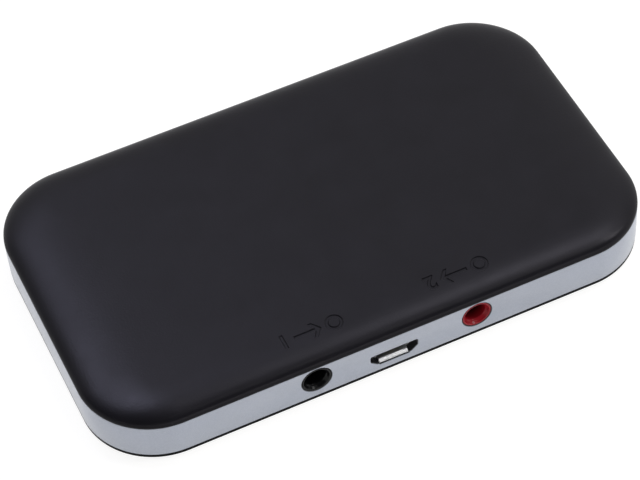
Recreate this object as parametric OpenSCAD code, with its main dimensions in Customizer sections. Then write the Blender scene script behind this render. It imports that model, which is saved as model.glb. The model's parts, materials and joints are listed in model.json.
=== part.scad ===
// Bluetooth audio receiver: a slim black case with a silver side band, two 3.5 mm jacks and a
// micro USB socket in the port side (-Y), and its controls in the opposite side (+Y).
// Millimetres, +Z up. The origin is under the middle of the case, on the surface that it stands on.

/* [Case] */
// Length of the case along X
body_l = 97; // [96:1:108]
// Width of the case along Y, without the switch knob
body_w = 56.4; // [56:0.2:62]
// Corner radius of the case in plan
corner_r = 12.7; // [11.5:0.1:14]
// Height of the silver side band
band_h = 7; // [6.8:0.05:9]
// Wall thickness of the side band
band_wall = 2; // [1.8:0.1:2.2]
// Visible edge of the base cover under the band
base_edge = 0.6; // [0.5:0.1:0.8]
// Thickness of the base cover's floor
base_floor = 0.9; // [0.8:0.05:1.1]
// Height of the top cover's crown above the band
crown_h = 2.2; // [2:0.1:2.8]
// Distance over which the crown levels out
crown_run = 6.5; // [5:0.5:9]
// Radius of the crown where it meets the band
crown_edge_r = 1.2; // [0.8:0.1:1.6]
// Thickness of the top cover's roof
cover_wall = 1.1; // [0.9:0.1:1.3]
// Thickness of the lip that the top cover sets inside the band
lip_t = 1; // [0.8:0.1:1.2]
// Depth of that lip
lip_h = 1.4; // [1:0.1:1.5]
// Clearance between a cover's lip and the band
fit_gap = 0.15; // [0.1:0.05:0.2]

/* [Feet and screws] */
// Radius of a rubber foot
foot_r = 4; // [3.6:0.1:4.4]
// Depth of the seat that a foot is glued into
foot_seat = 0.6; // [0.4:0.1:0.7]
// Height of a foot below the base cover
foot_proud = 0.6; // [0.4:0.1:1]
// Distance of a case screw from the two sides of the case
screw_inset = 9.5; // [9:0.1:9.6]
// Radius of a case screw's shank
screw_r = 1; // [0.9:0.05:1.1]
// Length of a case screw's shank
screw_l = 6; // [5:0.5:6]
// Radius of a case screw's head
screw_head_r = 1.9; // [1.7:0.1:2]
// Height of a case screw's head
screw_head_h = 1.4; // [1.2:0.1:1.5]

/* [Board] */
// Thickness of the main board
board_t = 0.8; // [0.6:0.1:0.8]
// Height of the board's upper face above the underside of the base cover
board_level = 2.1; // [2.1:0.1:2.3]
// Gap between the board's edge and the inside of the band
board_gap = 0.3; // [0.2:0.05:0.4]
// Depth behind the board that the controls take up
control_bay = 4.2; // [4.2:0.1:5]
// Height of the control axis above the board
control_axis = 1.8; // [1.8:0.05:1.9]

/* [Jacks] */
// Position of the output jack along X
output_jack_x = -13.7; // [-15:0.1:-12]
// Position of the input jack along X
input_jack_x = 14.3; // [12.5:0.1:16]
// Width of a jack's housing
jack_w = 6.4; // [6:0.1:7]
// Height of a jack's housing
jack_h = 5; // [4.8:0.1:5.2]
// Length of a jack's housing behind the band
jack_l = 12; // [11.6:0.1:12.2]
// Radius of the nozzle that reaches through the band
nozzle_r = 2.5; // [2.4:0.05:2.6]
// Gap round the nozzle in the band's hole
nozzle_gap = 0.15; // [0.1:0.05:0.2]
// Radius of the bore that takes the plug
jack_bore_r = 1.8; // [1.78:0.01:1.85]
// Distance of a nozzle's face behind the face of the band
nozzle_inset = 0.1; // [0.05:0.05:0.3]

/* [USB socket] */
// Position of the socket along X
usb_x = -0.5; // [-1:0.1:1]
// Outer width of the socket's shell at its wide side
usb_w = 7.5; // [7.4:0.1:7.6]
// Outer height of the shell
usb_h = 2.45; // [2.4:0.05:2.6]
// Length of the shell
usb_l = 5.4; // [5.2:0.1:5.8]
// Thickness of the shell's sheet metal
usb_sheet = 0.25; // [0.2:0.01:0.28]
// Distance of the shell's mouth behind the face of the band
usb_inset = 0.25; // [0.1:0.05:0.4]
// Gap round the shell in the band's cut-out
usb_gap = 0.2; // [0.15:0.05:0.25]

/* [Controls] */
// Width of the push button's face
button_w = 8; // [7:0.5:9]
// Height of the push button's face
button_h = 3; // [2.8:0.1:3.2]
// Height of the button's face above the band
button_proud = 0.4; // [0.35:0.05:0.5]
// Travel of the push button
button_travel = 0.3; // [0.2:0.05:0.3]
// Position of the mode switch along X
mode_x = -16; // [-18:0.5:-14]
// Travel of the mode switch
mode_travel = 2; // [1.5:0.1:2]
// Width of the mode switch's knob
knob_w = 3.6; // [3.2:0.1:4]
// Height of the mode switch's knob
knob_h = 2.4; // [2.2:0.1:2.6]
// Height of the knob above the band
knob_proud = 0.6; // [0.5:0.1:0.7]
// Position of the status light along X
light_x = 12; // [11:0.5:14]
// Radius of the light pipe
light_r = 1; // [0.8:0.05:1.2]

/* [Battery] */
// Thickness of the cell, which fills the room that the other parts leave in plan
cell_t = 4; // [3.6:0.1:4.2]
// Thickness of the foam tape under the cell
tape_t = 0.5; // [0.4:0.1:0.6]
// Room between the band and the end of the cell
cell_end_room = 5.5; // [3:0.5:7]
// Room between the jacks and the side of the cell
cell_side_room = 1.9; // [1.6:0.1:3]

/* [Radio module] */
// Length of the radio module along X
module_l = 22; // [20:1:22]
// Width of the radio module along Y
module_w = 13.5; // [12:0.5:14]
// Thickness of the module's board
module_t = 0.8; // [0.6:0.1:1]
// Height of the shield can
can_h = 1.7; // [1.4:0.1:2]
// Side of the shield can
can_side = 11; // [10:0.5:11.5]

/* [Hidden] */
$fn = 64;
over = 0.5; // how far a cutter runs past the face that it opens
touch = 0.05; // running gap between pieces that meet in use

base_z = foot_proud;
band_z = base_z + base_edge;
rim_z = band_z + band_h;
crown_z = rim_z + crown_h;
roof_z = crown_z - cover_wall;
board_top = base_z + board_level;
board_z = board_top - board_t;

in_l = body_l - 2 * band_wall;
in_w = body_w - 2 * band_wall;
in_r = corner_r - band_wall;
lip_l = in_l - 2 * fit_gap;
lip_w = in_w - 2 * fit_gap;
lip_r = in_r - fit_gap;
ledge_w = 1.6;
port_y = -body_w / 2; // face of the band on the port side
control_y = body_w / 2; // face of the band on the control side
back_in_y = control_y - band_wall;

screw_x = body_l / 2 - screw_inset;
screw_y = body_w / 2 - screw_inset;
head_room = 0.2;
cup_wall = 1.2;
cup_r = screw_head_r + head_room + cup_wall;
seat_t = 1.2;
seat_z = base_z + foot_seat + head_room + screw_head_h;
cup_top = seat_z + seat_t;
boss_r = 2.5;
pilot_gap = 0.02;

board_front = port_y + band_wall + board_gap;
board_back = back_in_y - control_bay;
board_l = in_l - 2 * board_gap;
board_r = in_r - board_gap;
control_z = board_top + control_axis;

jack_z = board_top + jack_h / 2;
jack_front = board_front;
jack_back = jack_front + jack_l;
nozzle_face = port_y + nozzle_inset;
mouth_depth = 0.8;
mouth_r = nozzle_r - 0.25;
peg_r = 0.4;
peg_inset = 3;
spring_t = 0.2;
spring_w = 1.1;
spring_l = 5;
spring_end = 1; // from the tip spring to the back of the housing
spring_free = 0.12; // from a spring's bow to the plug that holds it open
sleeve_w = 2.4;
sleeve_front = 1.4;

usb_front = port_y + usb_inset;
usb_stand = 0.08; // gap between the shell's underside and the board
usb_z = board_top + usb_stand + usb_h / 2;
usb_slope = 1.05; // how far the shell's narrow side steps in at each end
usb_corner = 0.3;
tongue_w = 4;
tongue_t = 0.6;
tongue_front = usb_front + 0.4;
pin_spacing = 0.65;

switch_face = board_back + 0.2; // rear face of the switch bodies
window_gap = 0.15;
flange_t = 0.7;
flange_y = back_in_y - touch - flange_t;
flange_side = 1.2; // how far a flange reaches past its window to each side
flange_rise = 0.7; // and above and below
tact_w = 6;
tact_d = 3.5;
tact_h = 3.6;
tact_fold = 0.5;
tact_bore_l = 1.6;
tact_stem_r = 1;
tact_stem_out = 1.3;
button_tip = switch_face + tact_stem_out + touch;
button_stem_r = 1.3;
stub = 1.5;
stub_out = 2.7;
stub_in = 1.1;
mode_w = 8.6;
mode_d = 3.7;
mode_h = 3.6;
knob_x = mode_x - mode_travel / 2; // the knob rests at the left end of its travel
window_w = knob_w + mode_travel + 2 * window_gap;
knob_flange_w = window_w + mode_travel + flange_rise;
knob_flange_h = knob_h + 2 * flange_rise;
knob_round = 0.35;
knob_socket_wall = 0.8;
knob_socket_l = 1.2;
knob_ribs = 3;
knob_rib_w = 0.3;
knob_rib_rise = 0.15;
led_w = 3;
led_d = 1.6;
led_h = 2.7;
led_lens_r = 0.7;
led_lens_l = 0.35;
pipe_gap = 0.5; // from the lamp's body to the light pipe
pipe_flange = 0.6;
flange_top = control_z + max(button_h / 2 + flange_rise, knob_flange_h / 2);

module_margin = 1; // from the module to the end of the board
module_x = body_l / 2 - band_wall - board_gap - module_margin - module_l / 2;
module_top = board_top + module_t;
module_room = 1.1; // between the module and the battery's header
can_wall = 0.2;

cup_room = 0.4; // between the cell and the screw cups
guard_l = 2.5; // length of the protection board at the cell's end
lead_r = 0.5;
lead_spacing = 2; // from lead to lead
lead_bend = 2;
lead_straight = 0.4;
lead_hold = 1; // length of lead inside the guard board and the plug
lead_cross = lead_spacing / 2; // how far a lead's bends are set off from the other's
plug_l = 4;
plug_w = 5;
plug_h = 3;
header_wall = 0.6;
header_x = module_x - module_l / 2 - module_room - header_wall - plug_l / 2;
plug_back = header_x - plug_l / 2 - lead_hold;
lead_run = 2 * lead_straight + 2 * lead_cross + 2 * lead_bend;
cell_end = plug_back - lead_run - guard_l;
cell_l = cell_end - (band_wall + cell_end_room - body_l / 2);
cell_x = cell_end - cell_l / 2;
cell_front = jack_back + cell_side_room;
cell_back = screw_y - cup_r - cup_room;
cell_w = cell_back - cell_front;
cell_y = (cell_front + cell_back) / 2;
cell_z = board_top + tape_t;
cell_round = cell_t * 0.42;
tape_inset = 3;
guard_inset = 1.5;
guard_bevel = 0.5;
lead_z = cell_z + cell_t / 2;
lead_y = cell_y - 3 * lead_spacing / 2;
header_y = lead_y + 2 * lead_bend + lead_spacing;
module_y = cell_y + 1.2 * lead_spacing;

capacitor_r = 2;
capacitor_h = 4.4;
capacitor_base_h = 0.8;
capacitor_spacing = 5.5;
capacitor_x = output_jack_x - capacitor_spacing - 0.8;
capacitor_y = board_front + 6.9;

// Chips, small parts and their legs
audio_l = 6.5;
audio_w = 4.4;
charger_l = 2.9;
charger_w = 1.6;
chip_h = 1;
chip_stand = 0.1;
chip_bevel = 0.2;
leg_t = 0.15;
leg_rise = 0.6;
leg_l = 1;
leg_w = 0.25;
audio_leg_spacing = 0.65;
charger_leg_spacing = 0.95;
chip_x = body_l / 2 - 21.5;
chip_y = board_front + 9.9;
charger_x = usb_x + 6.3;
charger_y = board_front + 8.9;
inductor_x = usb_x - 6.1;
inductor_side = 4;
inductor_plate = 0.4;
inductor_core_h = 1;
part_round = 0.6;
crystal_l = 5;
crystal_w = 3.2;
crystal_x = chip_x + 6.2;
crystal_y = chip_y + 2.5;
crystal_base_h = 0.4;
crystal_can_h = 0.7;
crystal_ledge_w = 0.3;
ceramic_l = 1.6;
ceramic_w = 0.8;
ceramic_h = 0.7;
ceramic_spacing = 2;
ceramic_row = 5; // from the audio chip's middle to a row beside it
terminal_l = 0.3;

// ---------------------------------------------------------------- shared shapes

// Rounded rectangle about the origin, of true arcs.
module rounded_rect(l, w, r) {
    square([l - 2 * r, w], center = true);
    square([l, w - 2 * r], center = true);
    for (sx = [-1, 1], sy = [-1, 1])
        translate([sx * (l / 2 - r), sy * (w / 2 - r)]) circle(r);
}

module rounded_plate(l, w, r, z0, z1) {
    translate([0, 0, z0]) linear_extrude(z1 - z0) rounded_rect(l, w, r);
}

// Stadium with its long side along X.
module stadium(w, h) {
    square([w - h, h], center = true);
    for (s = [-1, 1]) translate([s * (w - h) / 2, 0]) circle(h / 2);
}

// Stands a child drawn in XY up on an XZ plane at y0, and gives it a depth towards +Y.
module upright(y0, depth) {
    translate([0, y0 + depth, 0]) rotate([90, 0, 0]) linear_extrude(depth) children();
}

// Round bar along Y from y0 to y1.
module bar_y(r, y0, y1) {
    translate([0, y0, 0]) rotate([-90, 0, 0]) cylinder(r = r, h = y1 - y0);
}

module at_screws() {
    for (sx = [-1, 1], sy = [-1, 1]) translate([sx * screw_x, sy * screw_y, 0]) children();
}

// Box from its lowest corner to its highest.
module box(low, high) {
    translate(low) cube(high - low);
}

// Points of an arc, for the rounded corners of a sheet metal section.
function arc(cx, cy, r, a0, a1, steps = 4) =
    [for (i = [0:steps]) let (a = a0 + (a1 - a0) * i / steps) [cx + r * cos(a), cy + r * sin(a)]];

// ---------------------------------------------------------------- case

// Section of the crown from a corner's centre out to its edge: a tight arc at the edge that
// runs into a wide one, which ends level.
module crown_section() {
    turn = 90 - 2 * atan((crown_h - crown_edge_r) / (crown_run - crown_edge_r));
    wide_r = crown_edge_r + (crown_run - crown_edge_r) / cos(turn);
    flat_end = corner_r - crown_run;
    join_x = corner_r - crown_edge_r * (1 - cos(turn));
    difference() {
        square([corner_r, crown_h]);
        difference() {
            translate([flat_end, 0]) square([crown_run + over, crown_h + over]);
            translate([flat_end, crown_h - wide_r]) circle(wide_r, $fn = 240);
        }
        difference() {
            translate([join_x, -over]) square([crown_run, crown_h + 2 * over]);
            translate([corner_r - crown_edge_r, 0]) circle(crown_edge_r);
        }
    }
}

module crown() {
    straight_x = body_l - 2 * corner_r;
    straight_y = body_w - 2 * corner_r;
    translate([-straight_x / 2, -straight_y / 2, 0]) cube([straight_x, straight_y, crown_h]);
    for (turn = [0, 180]) rotate(turn) {
        translate([straight_x / 2, straight_y / 2, 0]) rotate_extrude(angle = 90) crown_section();
        translate([-straight_x / 2, straight_y / 2, 0]) rotate(90)
            rotate_extrude(angle = 90) crown_section();
        translate([straight_x / 2, straight_y / 2, 0]) rotate([90, 0, 0])
            linear_extrude(straight_y) crown_section();
        translate([-straight_x / 2, straight_y / 2, 0]) rotate([90, 0, 90])
            linear_extrude(straight_x) crown_section();
    }
}

module top_cover() color([0.13, 0.13, 0.14]) {
    rim = band_wall + fit_gap + lip_t;
    rib_t = 0.8;
    rib_h = 0.9;
    rib_spacing = 16;
    clamp_reach = 4;
    difference() {
        union() {
            difference() {
                union() {
                    translate([0, 0, rim_z]) crown();
                    rounded_plate(lip_l, lip_w, lip_r, rim_z - lip_h, rim_z);
                }
                rounded_plate(body_l - 2 * rim, body_w - 2 * rim, corner_r - rim,
                    rim_z - lip_h - over, roof_z);
            }
            // Stiffening ribs under the roof.
            for (i = [-2:2])
                box([i * rib_spacing - rib_t / 2, -lip_w / 2 + lip_t / 2, roof_z - rib_h],
                    [i * rib_spacing + rib_t / 2, lip_w / 2 - lip_t / 2, roof_z + touch]);
            // Screw bosses, each with a foot that clamps the board beside it.
            at_screws() translate([0, 0, cup_top]) cylinder(r = boss_r, h = roof_z + touch - cup_top);
            for (sx = [-1, 1], sy = [-1, 1]) translate([sx * screw_x, sy * screw_y, 0])
                mirror([sx > 0 ? 1 : 0, 0, 0])
                    box([boss_r / 2, -1, board_top], [boss_r + clamp_reach, 1, roof_z + touch]);
        }
        at_screws() translate([0, 0, board_top - over])
            cylinder(r = screw_r + pilot_gap, h = seat_z + screw_l + 0.3 - board_top + over);
        at_screws() translate([0, 0, board_top - over])
            cylinder(r = cup_r + fit_gap, h = cup_top - board_top + over);
        // Room in the lip for the jack housings.
        for (x = [output_jack_x, input_jack_x])
            box([x - jack_w / 2 - fit_gap, port_y, rim_z - lip_h - over],
                [x + jack_w / 2 + fit_gap, jack_front + 2 * lip_t, rim_z]);
        // Room in the lip for the controls' flanges.
        box([mode_x - knob_flange_w, back_in_y - fit_gap - lip_t - over, rim_z - lip_h - over],
            [light_x + light_r + flange_side, control_y, flange_top + fit_gap]);
    }
}

// Cut-out for the USB shell: the shell's own outline, grown by the gap round it.
module usb_outline(grow) {
    half_w = usb_w / 2 + grow;
    half_h = usb_h / 2 + grow;
    narrow = half_w - usb_slope;
    r = usb_corner + grow;
    polygon(concat(
        arc(half_w - r, half_h - r, r, 90, 0),
        arc(half_w - r, 0, r, 0, -40),
        arc(narrow - r * 0.6, -half_h + r, r, -50, -90),
        arc(-narrow + r * 0.6, -half_h + r, r, -90, -130),
        arc(-half_w + r, 0, r, -140, -180),
        arc(-half_w + r, half_h - r, r, 180, 90)
    ));
}

module side_band() color([0.68, 0.70, 0.73]) difference() {
    rounded_plate(body_l, body_w, corner_r, band_z, rim_z);
    rounded_plate(in_l, in_w, in_r, band_z - over, rim_z + over);
    for (x = [output_jack_x, input_jack_x]) translate([x, 0, jack_z])
        bar_y(nozzle_r + nozzle_gap, port_y - over, port_y + band_wall + over);
    translate([usb_x, 0, usb_z]) upright(port_y - over, band_wall + 2 * over) usb_outline(usb_gap);
    translate([0, 0, control_z]) upright(back_in_y - over, band_wall + 2 * over)
        stadium(button_w + 2 * window_gap, button_h + 2 * window_gap);
    translate([mode_x, 0, control_z]) upright(back_in_y - over, band_wall + 2 * over)
        rounded_rect(window_w, knob_h + 2 * window_gap, 0.5);
    translate([light_x, 0, control_z]) bar_y(light_r + pilot_gap, back_in_y - over, control_y + over);
}

module base_cover() color([0.10, 0.10, 0.11]) difference() {
    union() {
        rounded_plate(body_l, body_w, corner_r, base_z, band_z);
        rounded_plate(lip_l, lip_w, lip_r, base_z, base_z + base_floor);
        // Ledge that carries the board's edge.
        difference() {
            rounded_plate(lip_l, lip_w, lip_r, base_z, board_z);
            rounded_plate(lip_l - 2 * ledge_w, lip_w - 2 * ledge_w, lip_r - ledge_w, base_z, board_z + over);
        }
        // Ledge under the board's rear edge.
        box([-lip_l / 2 + lip_r, board_back - ledge_w, base_z], [lip_l / 2 - lip_r, board_back, board_z]);
        at_screws() translate([0, 0, base_z]) {
            cylinder(r = cup_r, h = cup_top - base_z);
            cylinder(r = foot_r + 0.7, h = foot_seat + 0.6);
        }
    }
    at_screws() {
        translate([0, 0, base_z - over]) cylinder(r = foot_r + fit_gap, h = foot_seat + over);
        translate([0, 0, base_z]) cylinder(r = screw_head_r + head_room, h = seat_z - base_z);
        translate([0, 0, base_z]) cylinder(r = screw_r + fit_gap, h = cup_top - base_z + over);
    }
}

module case_screws() color([0.75, 0.75, 0.77]) at_screws() {
    tip_l = 0.8;
    slot_w = 0.5;
    slot_depth = 0.8;
    head_z = seat_z - screw_head_h;
    difference() {
        union() {
            translate([0, 0, head_z]) cylinder(r = screw_head_r, h = screw_head_h);
            translate([0, 0, seat_z]) cylinder(r = screw_r, h = screw_l - tip_l);
            translate([0, 0, seat_z + screw_l - tip_l]) cylinder(r1 = screw_r, r2 = screw_r / 2, h = tip_l);
        }
        // Cross recess, open downwards.
        for (turn = [0, 90]) rotate(turn)
            box([-screw_head_r * 0.6, -slot_w / 2, head_z - over],
                [screw_head_r * 0.6, slot_w / 2, head_z + slot_depth]);
    }
}

// Rubber foot in one corner, with a rounded lower edge.
module foot(sx, sy) color([0.16, 0.16, 0.17]) translate([sx * screw_x, sy * screw_y, 0]) {
    round_r = foot_proud / 2;
    rotate_extrude() {
        translate([0, round_r]) square([foot_r, base_z + foot_seat - round_r]);
        square([foot_r - round_r, round_r]);
        translate([foot_r - round_r, round_r]) intersection() {
            circle(round_r);
            translate([0, -round_r]) square(round_r);
        }
    }
}

// ---------------------------------------------------------------- board

module main_board() color([0.05, 0.28, 0.16]) difference() {
    intersection() {
        rounded_plate(board_l, 2 * -board_front, board_r, board_z, board_top);
        box([-board_l / 2, board_front, board_z], [board_l / 2, board_back, board_top]);
    }
    // Room for the screw cups.
    at_screws() translate([0, 0, board_z - over]) cylinder(r = cup_r + board_gap, h = board_t + 2 * over);
    for (x = [output_jack_x, input_jack_x], y = [peg_inset, jack_l - peg_inset])
        translate([x, jack_front + y, board_z - over])
            cylinder(r = peg_r + pilot_gap, h = board_t + 2 * over);
}

// ---------------------------------------------------------------- jacks

// Housing with its nozzle, bore and the side windows that the contact springs lie in.
module jack_housing(x, tint) color(tint) translate([x, 0, 0]) {
    bevel = 0.5;
    half_w = jack_w / 2;
    difference() {
        union() {
            translate([0, 0, board_top]) upright(jack_front, jack_l) polygon([
                [-half_w, 0], [half_w, 0], [half_w, jack_h - bevel], [half_w - bevel, jack_h],
                [bevel - half_w, jack_h], [-half_w, jack_h - bevel]
            ]);
            translate([0, 0, jack_z]) bar_y(nozzle_r, nozzle_face, jack_front + over);
            for (y = [peg_inset, jack_l - peg_inset]) translate([0, jack_front + y, board_z])
                cylinder(r = peg_r, h = board_t + over);
        }
        translate([0, 0, jack_z]) bar_y(jack_bore_r, nozzle_face - over, jack_back + over);
        translate([0, nozzle_face, jack_z]) rotate([-90, 0, 0])
            cylinder(r1 = mouth_r, r2 = jack_bore_r, h = mouth_depth);
        spring_window(1, tip_spring_y);
        spring_window(-1, ring_spring_y);
        sleeve_window();
    }
}

tip_spring_y = jack_back - spring_end - spring_l;
ring_spring_y = tip_spring_y - 0.9 * spring_l;
sleeve_y = jack_front + sleeve_front;
window_room = 0.15;

module spring_window(side, y0) {
    mirror([side < 0 ? 1 : 0, 0, 0]) {
        box([jack_bore_r / 2, y0 - window_room, jack_z - spring_w / 2 - window_room],
            [jack_w / 2 + over, y0 + spring_l + window_room, jack_z + spring_w / 2 + window_room]);
        box([jack_w / 2 - spring_t - 2 * window_room, y0 + spring_l - spring_w - window_room,
                board_top - over],
            [jack_w / 2 + over, y0 + spring_l + window_room, jack_z]);
    }
}

module sleeve_window() {
    box([-spring_w / 2 - window_room, sleeve_y - window_room, jack_z],
        [spring_w / 2 + window_room, sleeve_y + sleeve_w + window_room, board_top + jack_h + over]);
}

// Leaf spring along the bore, drawn as a plug holds it: clear of the bore, with its bow
// nearest the plug and a leg down to the board.
module contact_spring(x, side, y0) color([0.83, 0.70, 0.36]) translate([x, 0, 0])
    mirror([side < 0 ? 1 : 0, 0, 0]) {
        outer_x = jack_w / 2 - window_room;
        bow_x = jack_bore_r + spring_free;
        bow = (spring_l - spring_w) * 0.55;
        inner_x = outer_x - spring_t;
        translate([0, y0, jack_z - spring_w / 2]) linear_extrude(spring_w) polygon([
            [inner_x, 0], [bow_x, bow], [inner_x, 2 * bow - spring_t], [inner_x, spring_l],
            [outer_x, spring_l], [outer_x, 2 * bow - 2 * spring_t], [bow_x + spring_t, bow], [outer_x, 0]
        ]);
        box([inner_x, y0 + spring_l - spring_w, board_top], [outer_x, y0 + spring_l, jack_z]);
    }

// Sleeve contact: a plate over the bore near the mouth, folded down both flanks to the board.
module sleeve_contact(x) color([0.80, 0.80, 0.82]) translate([x, 0, 0]) {
    roof = board_top + jack_h;
    difference() {
        box([-jack_w / 2 - spring_t, sleeve_y, board_top],
            [jack_w / 2 + spring_t, sleeve_y + sleeve_w, roof + spring_t]);
        box([-jack_w / 2, sleeve_y - over, board_top - over], [jack_w / 2, sleeve_y + sleeve_w + over, roof]);
        // Open lower flanks, so that only a leg reaches the board on each side.
        for (s = [-1, 1]) translate([s * (jack_w / 2 + spring_t / 2), sleeve_y + sleeve_w / 2, 0])
            box([-spring_t, 0, board_top - over], [spring_t, sleeve_w / 2 + over, roof - 1]);
    }
    box([-spring_w / 2, sleeve_y + sleeve_w / 4, jack_z + jack_bore_r + spring_free / 2],
        [spring_w / 2, sleeve_y + 0.75 * sleeve_w, roof + spring_t]);
}

// ---------------------------------------------------------------- USB socket

module usb_shell() color([0.80, 0.81, 0.83]) translate([usb_x, 0, 0]) {
    lip_l = 0.35;
    flare = 0.15;
    tab_w = 0.9;
    difference() {
        union() {
            translate([0, 0, usb_z]) upright(usb_front, usb_l) usb_outline(0);
            translate([0, 0, usb_z]) upright(usb_front, lip_l) usb_outline(flare);
            // Solder tabs down to the board, behind the board's edge.
            for (s = [-1, 1]) box([s * (usb_w / 2 - 0.4) - 0.4, board_front + 0.6, board_top],
                [s * (usb_w / 2 - 0.4) + 0.4, board_front + 0.6 + tab_w, usb_z]);
        }
        translate([0, 0, usb_z]) upright(usb_front - over, usb_l - usb_sheet + over)
            usb_outline(-usb_sheet);
        // Spring windows in the wide side.
        for (s = [-1, 1]) box([s * 2.1 - 0.45, usb_front + 1.9, usb_z + usb_h / 2 - usb_sheet - 0.1],
            [s * 2.1 + 0.45, usb_front + 3.4, usb_z + usb_h / 2 + over]);
    }
}

// Insulator: a block at the back of the shell with the tongue that carries the contacts.
module usb_tongue() color([0.08, 0.08, 0.09]) translate([usb_x, 0, 0]) {
    block_l = 1.2;
    rear = usb_front + usb_l - usb_sheet;
    translate([0, 0, usb_z]) upright(rear - block_l, block_l) usb_outline(-usb_sheet - 0.02);
    box([-tongue_w / 2, tongue_front, usb_z], [tongue_w / 2, rear - block_l + touch, usb_z + tongue_t]);
}

module usb_contacts() color([0.85, 0.71, 0.35]) for (i = [-2:2]) {
    strip_w = 0.3;
    strip_t = 0.12;
    rear = usb_front + usb_l;
    translate([usb_x + i * pin_spacing, 0, 0]) {
        box([-strip_w / 2, tongue_front + 0.3, usb_z - strip_t],
            [strip_w / 2, rear - usb_sheet - 1.2, usb_z]);
        box([-strip_w / 2, rear, board_top], [strip_w / 2, rear + 1, board_top + strip_t]);
    }
}

// ---------------------------------------------------------------- battery

module battery_cell() color([0.74, 0.75, 0.77]) translate([cell_x, cell_y, cell_z + cell_t / 2])
    rotate([90, 0, 90]) translate([0, 0, -cell_l / 2]) linear_extrude(cell_l)
        rounded_rect(cell_w, cell_t, cell_round);

module battery_tape() color([0.20, 0.20, 0.21])
    box([cell_x - cell_l / 2 + tape_inset, cell_front + tape_inset, board_top],
        [cell_end - tape_inset, cell_back - tape_inset, cell_z]);

// Protection board under its yellow tape, at the end of the cell that the leads leave.
module battery_guard_board() color([0.80, 0.62, 0.12]) difference() {
    translate([cell_end, cell_y, lead_z]) rotate([90, 0, 90]) linear_extrude(guard_l)
        rounded_rect(cell_w - 2 * guard_inset, cell_t - 2 * guard_bevel, guard_bevel);
    for (s = [-1, 1]) translate([cell_end + guard_l - lead_hold, lead_y + s * lead_spacing / 2, lead_z])
        rotate([0, 90, 0]) cylinder(r = lead_r + pilot_gap, h = lead_hold + over);
}

// Quarter bend of a lead in a level plane, from +X round to +Y, or back with turn -1.
module lead_bend_piece(turn) {
    mirror([0, turn < 0 ? 1 : 0, 0]) translate([0, lead_bend, 0]) rotate(-90)
        rotate_extrude(angle = 90) translate([lead_bend, 0]) circle(lead_r, $fn = 32);
}

// One lead: out of the guard board, an easy S across to the plug, and into its back.
module battery_lead(s, tint) color(tint) {
    y0 = lead_y + s * lead_spacing / 2;
    y1 = header_y + s * lead_spacing / 2;
    x0 = cell_end + guard_l - lead_hold;
    x1 = plug_back + lead_hold;
    bend_x = cell_end + guard_l + lead_straight + (1 - s) * lead_cross;
    translate([x0, y0, lead_z]) rotate([0, 90, 0]) cylinder(r = lead_r, h = bend_x - x0);
    translate([bend_x, y0, lead_z]) lead_bend_piece(1);
    translate([bend_x + lead_bend, y0 + lead_bend, lead_z]) rotate([-90, 0, 0])
        cylinder(r = lead_r, h = y1 - y0 - 2 * lead_bend);
    translate([bend_x + 2 * lead_bend, y1, lead_z]) mirror([1, 0, 0]) lead_bend_piece(-1);
    translate([bend_x + 2 * lead_bend, y1, lead_z]) rotate([0, 90, 0])
        cylinder(r = lead_r, h = x1 - bend_x - 2 * lead_bend);
}

module battery_plug() color([0.93, 0.93, 0.90]) difference() {
    box([plug_back, header_y - plug_w / 2, lead_z - plug_h / 2],
        [header_x + plug_l / 2, header_y + plug_w / 2, lead_z + plug_h / 2]);
    for (s = [-1, 1]) translate([plug_back - over, header_y + s * lead_spacing / 2, lead_z])
        rotate([0, 90, 0]) cylinder(r = lead_r + pilot_gap, h = lead_hold + over);
}

module battery_header() color([0.88, 0.86, 0.80]) difference() {
    box([header_x - plug_l / 2, header_y - plug_w / 2 - touch - header_wall, board_top],
        [header_x + plug_l / 2 + header_wall, header_y + plug_w / 2 + touch + header_wall,
            lead_z + plug_h / 2 + touch + header_wall]);
    box([header_x - plug_l / 2 - over, header_y - plug_w / 2 - touch, lead_z - plug_h / 2 - touch],
        [header_x + plug_l / 2, header_y + plug_w / 2 + touch, lead_z + plug_h / 2 + touch]);
    // Polarising slot in the roof.
    box([header_x - plug_l / 2 - over, header_y - plug_w / 5, lead_z],
        [header_x, header_y + plug_w / 5, lead_z + plug_h + over]);
}

// ---------------------------------------------------------------- radio module

module radio_module_board() color([0.05, 0.22, 0.32]) difference() {
    pad_r = 0.3;
    pads = 10;
    pad_spacing = (module_l - 10 * pad_r) / pads;
    box([module_x - module_l / 2, module_y - module_w / 2, board_top],
        [module_x + module_l / 2, module_y + module_w / 2, module_top]);
    // Half round solder points along both long edges.
    for (i = [0:pads - 1], s = [-1, 1])
        translate([(i - (pads - 1) / 2) * pad_spacing, s * module_w / 2, 0])
            translate([module_x, module_y, board_top - over]) cylinder(r = pad_r, h = module_t + 2 * over);
}

can_x = module_x - module_l / 2 + module_margin;

module radio_shield_can() color([0.78, 0.79, 0.80]) {
    can_l = can_side + module_margin;
    can_y = module_y - can_side / 2;
    notches = 4;
    notch_w = 0.8;
    notch_h = 0.3;
    difference() {
        box([can_x, can_y, module_top], [can_x + can_l, can_y + can_side, module_top + can_h]);
        box([can_x + can_wall, can_y + can_wall, module_top - over],
            [can_x + can_l - can_wall, can_y + can_side - can_wall, module_top + can_h - can_wall]);
        // Notches where the can's rim is soldered.
        for (i = [0:notches - 1]) let (x = can_x + (i + 0.7) * can_l / (notches + 0.5))
            box([x, can_y - over, module_top - over],
                [x + notch_w, can_y + can_side + over, module_top + notch_h]);
    }
}

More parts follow.
